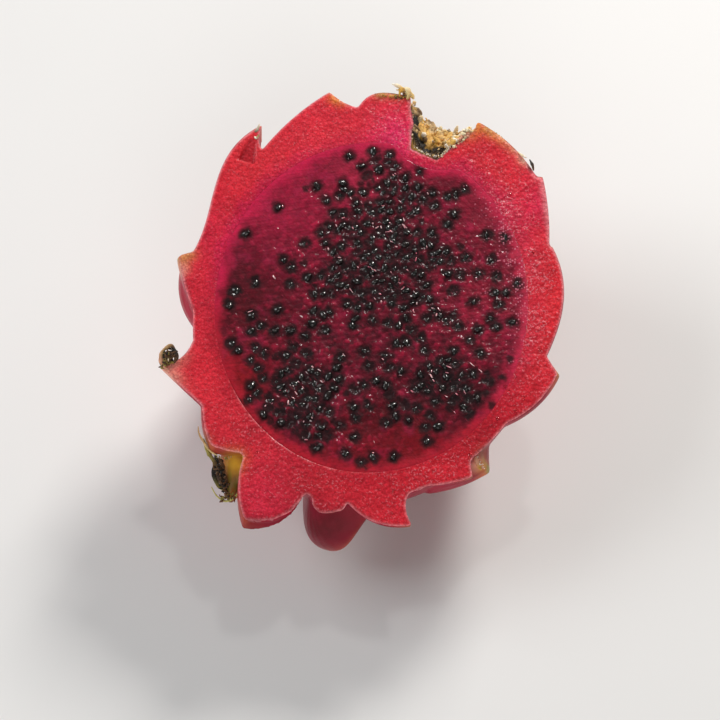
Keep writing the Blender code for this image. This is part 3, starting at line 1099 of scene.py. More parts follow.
# Bracts that the cut goes through or that stand just behind it, from the stem end up on either side
CUT_BRACTS = (
    Bract(-169, 15, (0.4, -54.6), (13.2, -67.8), (19.5, -49.8), 3.6, -1.8, 0.1),
    Bract(-176, 9, (19.5, -49.5), (28.0, -51.0), (35.4, -39.6), 0.4, -0.9, 0.2),
    Bract(-158, 8, (29.5, -44.0), (22.0, -61.0), (18.5, -50.5), -1.0, 0.6, 1.0, 2.4),
    Bract(-178, 12, (34.6, -40.6), (48.5, -33.4), (43.2, -24.5), 0.1, 1.7, 0.5),
    Bract(-173, 15, (45.4, -16.6), (55.4, -2.2), (50.6, 1.4), 0.5, 0.0, 0.8, 2.4, 0.0, 1.4),
    Bract(-171.5, 8, (44.7, -19.0), (54.6, -3.5), (50.0, 0.0), 2.2, 0.0, 0.05, 2.0),
    Bract(-178, 16, (51.6, 1.2), (46.3, 41.9), (43.4, 35.0), 3.6, 0.9, 0.2, 1.4, 1.1),
    Bract(-179, 17, (43.6, 34.0), (31.1, 57.0), (22.0, 55.6), 1.3, 0.6, 0.5),
    Bract(-178, 14, (21.9, 55.2), (7.2, 63.6), (1.0, 60.0), 3.2, -1.0, 0.6, 1.4, -0.7),
    Bract(-72, 13.5, (4.0, -54.8), (25.0, -62.0), (27.5, -47.5), 3.4, -0.4, 0.1, 2.4),
    Bract(-2, 6, (0.3, -54.6), (7.4, -57.3), (10.4, -53.6), 2.3, -0.6, 0.1, 1.4, 0.3, 2.4),
    Bract(-2, 13, (10.5, -53.6), (28.0, -54.4), (26.6, -43.2), 2.6, 2.2, 0.2),
    Bract(-1, 7, (27.5, -43.6), (39.6, -37.0), (38.5, -29.0), 0.7, 0.8, 0.4),
    Bract(-14, 12, (31.0, -43.0), (44.6, -31.6), (42.4, -24.6), 1.0, 0.0, 0.9),
    Bract(-3, 14, (44.5, -20.0), (54.0, -2.4), (50.0, 1.4), 2.0, 0.0, 0.5),
    Bract(-2, 15, (48.4, -6.0), (42.0, 32.2), (39.0, 31.0), 4.9, 0.0, 0.3, 1.4, 0.35, 1.6),
    Bract(-2, 14, (43.0, 24.0), (33.6, 51.2), (30.6, 51.5), 1.2, 0.2, 0.5, 1.4, 0.1, 1.8),
    Bract(-2, 15, (31.8, 51.2), (12.2, 61.4), (5.0, 57.0), 1.6, -1.6, 0.7),
)


@dataclass(frozen=True)
class Spiral:
    """The bracts of the hidden back: a spiral of the golden angle from the stem end to the crown."""

    count: int = 30
    golden_deg: float = 137.5
    start_deg: float = 230.0
    low_deg: float = -62.0
    climb_deg: float = 100.0
    half_width: float = 17.0
    lift: float = 8.0
    bow: float = 2.4
    hollow: float = 1.4
    axil_deg: float = 19.0
    tip_deg: float = 33.0
    clear_of_cut_deg: float = 28.0
    shrink: float = 0.22
    below_floor: float = 1.0
    least_stand: float = 0.3
    press: float = 0.05

    def leaf(self, turn: float, heel_deg: float, stand: float, small: float, ripe: float) -> Bract:
        """One bract.

        Args:
            turn: where it stands round the fruit, in degrees.
            heel_deg: the latitude of its heel.
            stand: 1 where it stands off freely, and less where it is pressed.
            small: its size as a share of the largest.
            ripe: how far it has turned orange and green, from 0 to 1.

        Returns:
            The bract.
        """
        angles = np.radians(heel_deg + np.array((0.0, self.axil_deg, self.tip_deg)) * small)
        heel, axil, tip = RIND.section(angles)
        tip = tip * (1.0 + self.lift * stand / np.linalg.norm(tip))
        corners = (tuple(corner) for corner in (heel, tip, axil))
        return Bract(turn, self.half_width * small, *corners, self.bow * stand, self.hollow * stand, ripe)

    def bracts(self) -> list[Bract]:
        """All of them, the ones under the fruit pressed until they clear the floor."""
        made = []
        turn_over = np.array(LYING.to_3x3()) / MM
        for i in range(self.count):
            turn = -((self.start_deg + i * self.golden_deg) % 360.0)
            if not self.clear_of_cut_deg < -turn < 180.0 - self.clear_of_cut_deg:
                continue
            climb = i / (self.count - 1)
            heel_deg = self.low_deg + self.climb_deg * climb
            ripe = 0.35 + 0.5 * scattered(np.array([[i, 2, 5]]), 9)[0]
            for stand in np.arange(1.0, self.least_stand, -self.press):
                bract = self.leaf(turn, heel_deg, stand, 1.0 - self.shrink * climb, ripe)
                height = (bract.rings(10, 5, 4) @ turn_over.T)[..., 2] + MIDDLE[2]
                if height.min() > -self.below_floor:
                    break
            made.append(bract)
        return made


def bell(spots: Array, middle: tuple[float, ...], reach: float) -> Array:
    """exp of minus the square of the distance from the middle over the reach."""
    distance = np.linalg.norm(spots - np.array(middle), axis=-1)
    return np.exp(-((distance / reach) ** 2))


@dataclass(frozen=True)
class Zone:
    """A soft patch of colour: its middle, its reach in millimetres and how strong it is."""

    spot: tuple[float, ...]
    reach: float
    colour: Colour
    strength: float = 1.0

    def share(self, spots: Array) -> Array:
        """How much of its colour spots take on."""
        return self.strength * bell(spots, self.spot, self.reach)


def painted(tone: Array, zones: Iterable[Zone], spots: Array, weight: Array | float = 1.0) -> Array:
    """Lays the colour of each zone over the ones before.

    Args:
        tone: the colours so far.
        zones: what is laid over them, in order.
        spots: where the colours are.
        weight: how much of every zone is kept.

    Returns:
        The new colours.
    """
    for zone in zones:
        tone = mixed(tone, zone.colour, zone.share(spots) * weight)
    return tone


def relief_block(height: Relief, low: Spot, high: Spot, step: float, roof: float) -> Surface:
    """A block over the cut whose underside is a fine relief.

    Args:
        height: gives the relief's height for spots of the cut.
        low: its lower left corner.
        high: its upper right corner.
        step: distance between points of the relief.
        roof: height of the flat top.

    Returns:
        The closed block.
    """
    x = np.arange(low[0], high[0], step)
    y = np.arange(low[1], high[1], step)
    spots = np.stack(np.meshgrid(x, y, indexing="ij"), -1).reshape(-1, 2)
    underside = np.column_stack((spots, height(spots)))
    ring = border(len(x), len(y))
    top = underside[ring]
    top[:, 2] = roof
    upper = len(underside) + np.arange(len(ring))
    parts = (grid_faces(len(x), len(y)), band(ring, upper), fan(upper, len(underside) + len(ring)))
    return Surface(np.vstack((underside, top, top.mean(0))), [part[:, ::-1] for part in parts]).outward()


@dataclass(frozen=True)
class Pocket:
    """A hollow in the cut where it passes in front of a bract's inner side."""

    crease: Spot = (-34.6, 43.4)
    end: Spot = (-32.2, 51.4)
    half_width: float = 2.5
    depth: float = 1.1

    def dip(self, spots: Array) -> Array:
        """Depth of the hollow: deepest at the crease, with a steep step there, and none at the far end.

        Along it the depth falls as 1 - u, and across it the hollow ends at a width that falls as
        1 - 0.75 u, where u runs from 0 at the crease to 1 at the end.

        Args:
            spots: places on the cut.

        Returns:
            A depth for each spot, in millimetres.
        """
        start, end = np.array(self.crease), np.array(self.end)
        along = end - start
        length = np.linalg.norm(along)
        u = (spots - start) @ along / length**2
        v = (spots - start) @ np.array((-along[1], along[0])) / length
        share = np.abs(v) / (self.half_width * np.clip(1.0 - 0.75 * u, 0.2, 1.2))
        return self.depth * np.clip(1.0 - u, 0.0, 1.0) * smooth(-0.07, 0.02, u) * smooth(1.1, 0.75, share)


def seam_height(spots: Array) -> Array:
    """The slow waves that rind and flesh share where they meet."""
    return 0.10 * Noise(7.0, 44)(spots) - 0.05


def seam_turn(spots: Array) -> Array:
    """Directions of spots from the middle of the flesh, in degrees from 0 to 360."""
    from_middle = spots - FLESH.middle
    return np.degrees(np.arctan2(from_middle[:, 1], from_middle[:, 0])) % 360.0


def seam_tone(spots: Array) -> Array:
    """The colour on both sides of the seam: magenta, pinker at the right and deep red at the lower left."""
    tone = mixed((0.66, 0.014, 0.075), (0.66, 0.034, 0.082), bell(spots, (44.0, 6.0), 30.0))
    turn = seam_turn(spots)
    low = smooth(165.0, 195.0, turn) * smooth(345.0, 300.0, turn)
    return mixed(tone, (0.50, 0.012, 0.030), low)


def stepped(spots: Array) -> Array:
    """1 at the lower left, where the knife left the flesh lower than the rind, and 0 elsewhere."""
    turn = seam_turn(spots)
    return smooth(200.0, 222.0, turn) * smooth(276.0, 256.0, turn)


# Colours that the skin and the cut take on near a place: stains of ripening and dry tips, and at the
# underside painted shade
STAINS_AND_SHADE = (
    Zone((-36.4, -42.8, -3.9), 3.6, (0.90, 0.56, 0.05), 1.0),
    Zone((-36.3, -48.2, -5.8), 3.0, (0.20, 0.19, 0.035), 0.95),
    Zone((-40.6, -46.6, -5.9), 2.8, (0.030, 0.018, 0.012), 0.95),
    Zone((-44.2, -37.6, -2.2), 2.6, (0.22, 0.12, 0.035), 0.8),
    Zone((-50.6, 14.4, -0.3), 3.0, (0.62, 0.31, 0.09), 1.0),
    Zone((-51.2, 11.2, -0.4), 1.9, (0.92, 0.42, 0.32), 0.8),
    Zone((-55.4, -17.2, -0.3), 5.6, (0.92, 0.44, 0.32), 1.0),
    Zone((-9.4, 62.4, -0.6), 2.6, (0.86, 0.38, 0.05), 0.9),
    Zone((3.0, 64.3, -0.6), 2.4, (0.48, 0.34, 0.10), 0.9),
    Zone((7.4, 64.2, -0.6), 2.4, (0.55, 0.38, 0.12), 0.9),
    Zone((12.6, 62.8, -0.3), 1.6, (0.86, 0.56, 0.42), 0.8),
    Zone((29.6, 54.0, -0.6), 4.6, (0.86, 0.30, 0.06), 1.0),
    Zone((33.6, 53.0, -0.6), 2.8, (0.66, 0.36, 0.08), 1.0),
    Zone((36.8, 50.6, -0.5), 2.8, (0.84, 0.38, 0.12), 0.9),
    Zone((39.6, 47.6, -0.5), 2.2, (0.86, 0.44, 0.22), 0.8),
    Zone((42.6, 44.0, -0.3), 1.9, (0.90, 0.62, 0.42), 0.9),
    Zone((44.8, 41.8, -0.5), 1.3, (0.020, 0.014, 0.010), 0.9),
    Zone((29.6, -40.6, -1.6), 2.4, (0.34, 0.10, 0.05), 0.7),
    Zone((28.7, -43.4, -3.2), 2.2, (0.94, 0.48, 0.34), 0.9),
    Zone((30.6, -44.0, -4.6), 2.2, (0.90, 0.40, 0.08), 0.9),
    # The last five darken the underside under the lowest bracts towards a near black: painted shade.
    Zone((-28.5, -61.5, -7.5), 6.0, (0.040, 0.014, 0.012), 0.9),
    Zone((-20.0, -62.5, -4.0), 5.0, (0.40, 0.008, 0.040), 0.8),
    Zone((-33.5, -56.0, -5.0), 4.0, (0.30, 0.010, 0.030), 0.9),
    Zone((-34.0, -60.0, -5.0), 4.6, (0.24, 0.007, 0.022), 1.0),
    Zone((-12.4, -59.1, -10.8), 10.0, (0.19, 0.004, 0.015), 1.0),
)
# Where the cut sparkles more than elsewhere: middle, reach and how much
SPARKLE = (
    ((42.5, 10.0), 9.0, 0.9),
    ((36.0, 29.0), 9.0, 0.9),
    ((44.0, -6.0), 9.0, 0.8),
    ((46.0, -20.0), 14.0, 0.5),
    ((16.0, -50.0), 16.0, 0.5),
    ((33.0, 42.0), 9.0, 0.4),
    ((6.0, 54.0), 9.0, 0.5),
    ((-33.0, -37.0), 13.0, 0.35),
    ((-16.0, -50.0), 12.0, 0.35),
    ((-14.0, 53.0), 12.0, 0.2),
)


def sparkle(spots: Array) -> Array:
    """How much the cut sparkles at these spots, from 0 to 1."""
    bells = [strength * bell(spots, middle, reach) for middle, reach, strength in SPARKLE]
    return np.minimum(0.16 + np.max(bells, axis=0), 1.0)


@dataclass
class Rind:
    """The rind and its bracts: one grown skin, cut flat, hollowed for the flesh and open at the pit."""

    voxel: float = 0.45
    kept: float = 0.30
    step: float = 0.34
    smooth_passes: int = 4
    cut_low: Spot = (-66.0, -66.0)
    cut_high: Spot = (62.0, 66.0)
    cut_roof: float = 70.0
    hollow_roof: float = 6.0
    pocket: Pocket = Pocket()
    body_red: Colour = (0.38, 0.008, 0.030)
    cut_red: Colour = (0.80, 0.028, 0.050)
    # Pale pink of the cut's edges: partly painted highlight.
    edge_pink_and_highlight: Colour = (0.94, 0.38, 0.40)
    zones: tuple[Zone, ...] = (
        Zone((7.0, 51.0), 7.0, (0.90, 0.03, 0.17), 0.8),
        Zone((-26.0, -52.0), 12.0, (0.72, 0.026, 0.080), 0.7),
        Zone((-42.0, 20.0), 10.0, (0.70, 0.016, 0.080), 0.4),
        Zone((46.0, 0.0), 22.0, (0.80, 0.024, 0.034), 0.6),
        Zone((47.0, 30.0), 7.0, (0.86, 0.030, 0.120), 0.6),
        Zone((16.0, -50.0), 14.0, (0.72, 0.016, 0.034), 0.8),
        # These six, low on the cut and at its left, are darker: painted shade, the cut darker towards the
        # bottom and the left.
        Zone((-16.0, -50.0), 10.0, (0.54, 0.015, 0.030), 0.9),
        Zone((34.0, -30.0), 12.0, (0.56, 0.012, 0.028), 0.85),
        Zone((26.0, -37.0), 7.0, (0.46, 0.009, 0.022), 0.7),
        Zone((5.0, -48.0), 9.0, (0.60, 0.012, 0.030), 0.6),
        Zone((-36.0, -38.0), 12.0, (0.66, 0.022, 0.042), 0.8),
        Zone((-48.0, 0.0), 11.0, (0.66, 0.022, 0.048), 0.7),
        Zone((-34.0, 48.0), 8.0, (0.78, 0.040, 0.050), 0.6),
        Zone((-12.0, 52.0), 16.0, (0.84, 0.040, 0.068), 0.6),
    )

    def height(self, spots: Array) -> Array:
        """Relief of the cut: slow waves, pressed grains and the pocket; plain beside the flesh."""
        away = smooth(0.2, 1.6, flesh_gap(spots))
        waves = 0.14 * Noise(9.0, 41, 2)(spots) + 0.09 * Noise(2.0, 42, 2)(spots)
        distance, number = Grains(1.30, 43)(spots + 0.35 * Noise(1.4, 45, 2)(spots)[:, None])
        grains = (0.06 + 0.16 * sparkle(spots)) * (1.0 - smooth(0.05, 0.80, distance)) * (0.3 + number)
        return seam_height(spots) + away * (waves + grains) - self.pocket.dip(spots)

    def skin(self) -> Object:
        """The whole outside: body and bracts grown together by a voxel remesh.

        Returns:
            An object whose mesh has the channels leaf and vein, taken over from the surfaces.
        """
        body = RIND.surface(150, 90)
        body.points *= 1.0 + 0.0045 * Noise(13.0, 51, 2)(body.points)[:, None]
        blank = np.zeros((len(body.points), 4))
        body.channels = {"leaf": blank, "vein": blank}
        bracts = [*CUT_BRACTS, *Spiral().bracts()]
        parts = [body.outward()] + [bract.surface(k).outward() for k, bract in enumerate(bracts)]
        source = Surface.joined(parts).to_object("rind_source")
        grown = linked("rind_and_bracts", source.data)
        add_modifier(grown, "REMESH", mode="VOXEL", voxel_size=self.voxel)
        add_modifier(grown, "SMOOTH", factor=0.5, iterations=self.smooth_passes)
        add_modifier(grown, "DECIMATE", ratio=self.kept)
        bake_modifiers(grown)
        for name in body.channels:
            grown.data.attributes.new(name, "FLOAT_COLOR", "POINT")
        add_modifier(
            grown,
            "DATA_TRANSFER",
            object=source,
            use_vert_data=True,
            data_types_verts={"COLOR_VERTEX"},
            vert_mapping="POLYINTERP_NEAREST",
            layers_vcol_vert_select_src="ALL",
            layers_vcol_vert_select_dst="NAME",
        )
        bake_modifiers(grown)
        bpy.data.objects.remove(source)
        return grown

    def build(self, skin: Material, cut: Material) -> None:
        """Makes the rind.

        Args:
            skin: finish of the outside.
            cut: finish of the cut.
        """
        rind = self.skin()
        rind.data.materials.append(skin)
        hollow = FleshForm(grow=GAP).bowl(180, 24, self.hollow_roof)
        flat = relief_block(self.height, self.cut_low, self.cut_high, self.step, self.cut_roof)
        for surface, material in ((PIT.cutter(), skin), (hollow, cut), (flat, cut)):
            carve(rind, surface.to_object("tool", material))
        self.colour(rind.data)
        lay_down(rind, Finish.RIND, "rind")

    def colour(self, mesh: Mesh) -> None:
        """Gives each point its colour and sparkle, and lowers the very edge of the cut.

        Args:
            mesh: the rind, with its channels and both materials.
        """
        points = read_points(mesh)
        on_cut, on_skin = self.sides(mesh)
        cut_points = points[on_cut]
        from_skin = nearest_distance(cut_points, points[on_cut & on_skin])
        tone = np.ones((len(points), 4))
        tone[:, :3] = self.skin_tone(points, read_colours(mesh, "leaf"), read_colours(mesh, "vein"))
        tone[on_cut, :3] = self.cut_tone(cut_points, from_skin)
        tone[on_cut, 3] = sparkle(cut_points[:, :2])
        points[on_cut, 2] -= 0.22 * np.exp(-((from_skin / 0.45) ** 2)) * (cut_points[:, 2] > -1.5)
        write_points(mesh, points)
        write_colours(mesh, "tone", tone)
        mesh.attributes.remove(mesh.attributes["leaf"])

    @staticmethod
    def sides(mesh: Mesh) -> tuple[Array, Array]:
        """Which points belong to faces of the cut, and which to faces of the skin.

        Args:
            mesh: the rind, whose second material is the cut's.

        Returns:
            A mask of the points for each.
        """
        faces, corners = mesh.polygons, mesh.loops
        material, totals = np.empty((2, len(faces)), np.int32)
        faces.foreach_get("material_index", material)
        faces.foreach_get("loop_total", totals)
        corner = np.empty(len(corners), np.int32)
        corners.foreach_get("vertex_index", corner)
        of_corner = np.repeat(material, totals)
        masks = np.zeros((2, len(mesh.vertices)), bool)
        for mask, index in zip(masks, (1, 0)):
            mask[corner[of_corner == index]] = True
        return masks[0], masks[1]

    def skin_tone(self, points: Array, leaf: Array, vein: Array) -> Array:
        """Colours of the outside: red body, bracts that turn orange and green, dry tips, stains, and painted
        shade at the underside.

        Args:
            points: places in the frame of the cut.
            leaf: the leaf channel.
            vein: the vein channel.

        Returns:
            One colour for each point.
        """
        tip, edge, inner, ripe = leaf.T
        patch = Noise(7.0, 61, 3)(points)
        small = Noise(1.7, 62, 2)(points)
        tone = mixed(self.body_red, (0.52, 0.014, 0.060), smooth(-0.5, 0.7, patch))
        inside = mixed((0.40, 0.014, 0.030), (0.66, 0.14, 0.09), smooth(0.4, 1.0, tip + 0.15 * small))
        tone = mixed(tone, inside, inner * smooth(0.0, 0.2, tip))
        orange = smooth(0.62, 0.98, tip + 0.10 * patch + 0.22 * edge * ripe) * (0.15 + 0.85 * ripe)
        tone = mixed(tone, (0.74, 0.16, 0.040), orange)
        green = smooth(0.66, 0.98, edge * (0.5 + 0.6 * tip) + 0.12 * small) * smooth(0.25, 0.9, ripe)
        tone = mixed(tone, (0.38, 0.34, 0.07), green * 0.9)
        dry = smooth(0.90, 0.99, tip + 0.05 * small) * smooth(0.2, 0.8, ripe + 0.3 * vein[:, 1])
        tone = mixed(tone, (0.28, 0.15, 0.06), dry)
        return painted(tone, STAINS_AND_SHADE, points, (1.0 + 0.25 * small).clip(0.0, 1.0))

    def cut_tone(self, points: Array, from_skin: Array) -> Array:
        """Colours of the cut: magenta beside the flesh, red further out, painted shade in the pocket and
        towards the bottom, a pale line at the skin that is partly painted highlight, and a painted highlight
        along the step at the lower left.

        Args:
            points: places on the cut.
            from_skin: their distances from the skin, in millimetres.

        Returns:
            One colour for each point.
        """
        spots = points[:, :2]
        gap = flesh_gap(spots)
        blurred = (gap + 1.2 * Noise(3.0, 71, 2)(spots)) / (1.0 + 0.9 * bell(spots, (44.0, 14.0), 24.0))
        tone = mixed(seam_tone(spots), self.cut_red, smooth(0.3, 5.0, blurred))
        tone = painted(tone, self.zones, spots)
        tone *= 1.0 + 0.13 * Noise(5.0, 72, 3)(spots)[:, None] + 0.10 * Noise(1.1, 73, 2)(spots)[:, None]
        # Darker in the pocket: painted shade of the hollow.
        pocket = self.pocket.dip(spots) / self.pocket.depth
        tone = mixed(tone, (0.42, 0.012, 0.026), 0.55 * smooth(0.0, 0.9, pocket))
        # A pale line along the skin: partly the rind's paler outer layer seen in section, partly painted
        # highlight on the edge.
        uneven = 1.0 + 0.5 * Noise(4.0, 74, 2)(spots)
        wide = 0.40 + 0.9 * bell(spots, (48.0, 32.0), 10.0) + 0.35 * bell(spots, (11.5, 54.0), 7.0)
        pale = (0.76 * np.exp(-((from_skin / wide) ** 2)) * uneven).clip(0.0, 0.95)
        tone = mixed(tone, self.edge_pink_and_highlight, pale)
        near_skin = np.exp(-((from_skin / 2.8) ** 2)) * (1.0 + 0.5 * Noise(1.2, 75, 2)(spots)).clip(0.0, 1.0)
        tone = painted(tone, STAINS_AND_SHADE, points, near_skin)
        # Pale along the step at the lower left, where the rind stands above the flesh: painted highlight on
        # the step's edge.
        step = np.exp(-((gap / 0.45) ** 2)) * stepped(spots) * (points[:, 2] > -0.4)
        broken_step_highlight = (0.8 + 1.6 * Noise(2.2, 76, 2)(spots)).clip(0.1, 1.4)
        return mixed(tone, self.edge_pink_and_highlight, 0.55 * step * broken_step_highlight)


@dataclass(frozen=True)
class FleshForm:
    """The outline of the flesh on the cut and the bowl under it."""

    grow: float = 0.0
    soft: float = 0.8

    def rim(self, turn: Array) -> Array:
        """Distance from the middle of the flesh to its rim, in the direction of a turn on the cut.

        It is the smaller of the way to the ellipse and the way to the ball under the pit, blended softly.

        Args:
            turn: directions, in radians.

        Returns:
            A distance for each direction.
        """
        direction = np.stack((np.cos(turn), np.sin(turn)), -1)
        lean = turn + math.radians(FLESH.lean_deg)
        reach, rise = FLESH.reach + self.grow, FLESH.top + self.grow
        ellipse = 1.0 / np.hypot(np.cos(lean) / reach, np.sin(lean) / rise)
        to_ball = PIT.dent_middle - FLESH.middle
        along = direction @ to_ball
        under_root = (PIT.dent_radius - self.grow) ** 2 - to_ball @ to_ball + along**2
        ball = np.where((under_root > 0) & (along > 0), along - np.sqrt(np.maximum(under_root, 0.0)), 99.0)
        both = np.stack((ellipse, ball))
        return -self.soft * np.log(np.exp(-both / self.soft).sum(0))

    def bowl(self, around: int, down: int, lid: float) -> Surface:
        """The closed bowl under the rim.

        Args:
            around: number of points round it.
            down: number of rings from the rim to the bottom.
            lid: height of the straight wall above the cut.

        Returns:
            The bowl.
        """
        turn = np.linspace(0.0, math.tau, around, endpoint=False)
        rim = self.rim(turn)[:, None] * np.stack((np.cos(turn), np.sin(turn)), -1) + FLESH.middle
        below = self.rings(rim, down)
        above = below[:1].copy()
        above[..., 2] = lid
        return Surface.tube(np.concatenate((above, below))).outward()

    def rings(self, rim: Array, down: int) -> Array:
        """Rings from the rim down to the bottom of the bowl.

        A ring at the angle a below the cut is the rim shrunk by cos a and lowered by the depth times sin a.

        Args:
            rim: spots of the rim on the cut.
            down: number of rings.

        Returns:
            The points of each ring.
        """
        angle = np.radians(np.linspace(0.0, 88.0, down))[:, None, None]
        flat = FLESH.middle + (rim[None] - FLESH.middle) * np.cos(angle)
        depth = -(FLESH.reach + self.grow) * np.sin(angle) * np.ones((1, len(rim), 1))
        return np.concatenate((flat, depth), -1)


# Seeds that stand alone on the cut, in millimetres
LONE_SEEDS = (
    (-20.0, 40.5), (-25.5, 29.5), (-34.5, 21.5), (-38.0, 17.0), (-24.0, 14.0), (-22.0, 12.0),
    (-39.5, 10.5), (-31.5, 7.5), (-37.0, 5.0), (-22.0, 7.0), (-10.5, 28.0), (-8.0, 27.5),
    (-11.5, 24.0), (-13.5, 9.5), (-11.0, 8.0), (-6.5, 6.5), (-11.0, 4.5), (-15.0, 4.0),
    (-38.5, 1.0), (-32.5, -2.0), (-32.5, -6.5), (-30.0, -5.0), (-26.0, -6.5), (-22.0, -6.5),
    (-25.5, -0.5), (-38.0, -10.0), (-36.0, -12.0), (-29.0, -13.0), (-32.5, -15.0), (-30.5, -17.0),
    (-16.0, -4.5), (-12.5, -6.5), (-11.5, -1.0), (-21.0, -11.0), (-17.5, -13.0),
    (-27.0, -26.0), (-23.0, -23.5), (-20.5, -21.5), (-29.0, -20.0), (-25.5, -20.5), (-24.5, -29.5),
    (-24.0, -32.5), (-20.0, -30.5), (-17.5, -36.0), (-11.5, -36.0), (-14.5, -39.5), (-7.0, -41.0),
    (-4.5, -36.5), (-4.0, -31.0), (-1.0, -27.5), (-2.5, -43.5), (0.5, -42.0), (6.0, -42.0),
    (6.5, -30.5), (4.0, -32.5), (18.0, -33.5), (15.0, -37.5), (1.5, -20.5), (5.0, -17.0),
    (8.0, -18.0), (7.0, -10.0), (4.5, -4.5), (7.5, -5.0), (11.0, -6.5), (13.5, -8.5),
    (15.5, -3.0), (23.5, -5.0), (20.5, -3.5), (32.5, -3.0), (27.0, -9.0), (29.5, -13.0),
    (27.5, -19.0), (31.5, -20.5), (19.0, -15.0), (15.5, -16.5), (12.0, -23.0), (15.0, -23.5),
    (25.5, -23.0), (28.5, -25.5), (17.0, -26.5), (25.0, -28.0), (22.0, -26.0), (23.5, 33.5),
    (26.0, 35.0), (23.0, 27.5), (17.5, 30.0), (13.0, 35.5), (33.0, 29.5), (35.0, 26.0),
    (37.5, 24.5), (32.0, 21.5), (37.0, 20.5), (39.0, 18.5), (20.5, 16.5),
    (26.0, 14.5), (33.0, 14.0), (12.0, 17.0), (29.5, 10.0), (21.0, 10.0), (40.0, 7.0),
    (34.0, 4.5), (36.8, 4.5), (22.5, 5.0), (9.5, 5.0), (3.0, 8.0), (28.0, 2.0),
    (35.0, 1.0), (9.0, 32.0), (0.5, 28.0), (-2.0, 34.0), (-4.0, 31.0),
)
# Clusters: middle, spread both ways and share of the rest
SEED_CLUSTERS = (
    (3.0, 27.0, 7.0, 8.0, 4),
    (2.0, 14.0, 8.0, 7.0, 4),
    (-20.0, -27.0, 8.0, 6.0, 3),
    (20.0, -22.0, 8.0, 5.0, 2),
    (0.0, -3.0, 20.0, 18.0, 2),
)


@dataclass
class SeedBed:
    """Where the seeds lie on the cut, and the small things that go with them.

    The first `in_all` seeds are the solid's own, at the same places. The extra ones come closer to others.
    """

    limit: float = 0.96
    spacing: float = 2.7
    closer: float = 0.62
    in_all: int = 205
    draw_seed: int = 11
    extra: int = 100
    ghosts: int = 190
    threads: int = 70
    seeds: Array = field(init=False)
    ghost_spots: Array = field(init=False)
    thread_spots: Array = field(init=False)

    def __post_init__(self) -> None:
        """Draws the places, the solid's own seeds first."""
        draw = random.Random(self.draw_seed)
        places = [spot for spot in LONE_SEEDS if self.rim_share(spot) < self.limit]
        self.fill(places, self.in_all, draw, self.spacing)
        turns = [draw.uniform(0, math.pi) for _ in places]
        more = random.Random(self.draw_seed + 1)
        self.fill(places, self.in_all + self.extra, more, self.spacing * self.closer)
        turns += [more.uniform(0, math.pi) for _ in range(self.extra)]
        self.seeds = np.column_stack((places, turns))
        self.ghost_spots = np.array([self.drawn(more) for _ in range(self.ghosts)])
        self.thread_spots = np.array([self.drawn(more) for _ in range(self.threads)])

    @staticmethod
    def rim_share(spot: Spot) -> float:
        """How far a spot is from the middle of the flesh, as a share of the way to its rim."""
        return float(FLESH.share(np.array([spot]))[0])

    @staticmethod
    def drawn(draw: random.Random) -> Spot:
        """A spot from one of the clusters."""
        weights = [weight for *_, weight in SEED_CLUSTERS]
        x, y, wide, high, _ = draw.choices(SEED_CLUSTERS, weights)[0]
        return (draw.gauss(x, wide), draw.gauss(y, high))

    def fill(self, places: list[Spot], count: int, draw: random.Random, spacing: float) -> None:
        """Adds drawn places that keep their distance.

        Args:
            places: the places so far, which grow.
            count: how many there are in the end.
            draw: where the random numbers come from.
            spacing: the least distance between two of them.
        """
        while len(places) < count:
            spot = self.drawn(draw)
            inside = self.rim_share(spot) < self.limit
            if inside and all(math.dist(spot, other) > spacing for other in places):
                places.append(spot)


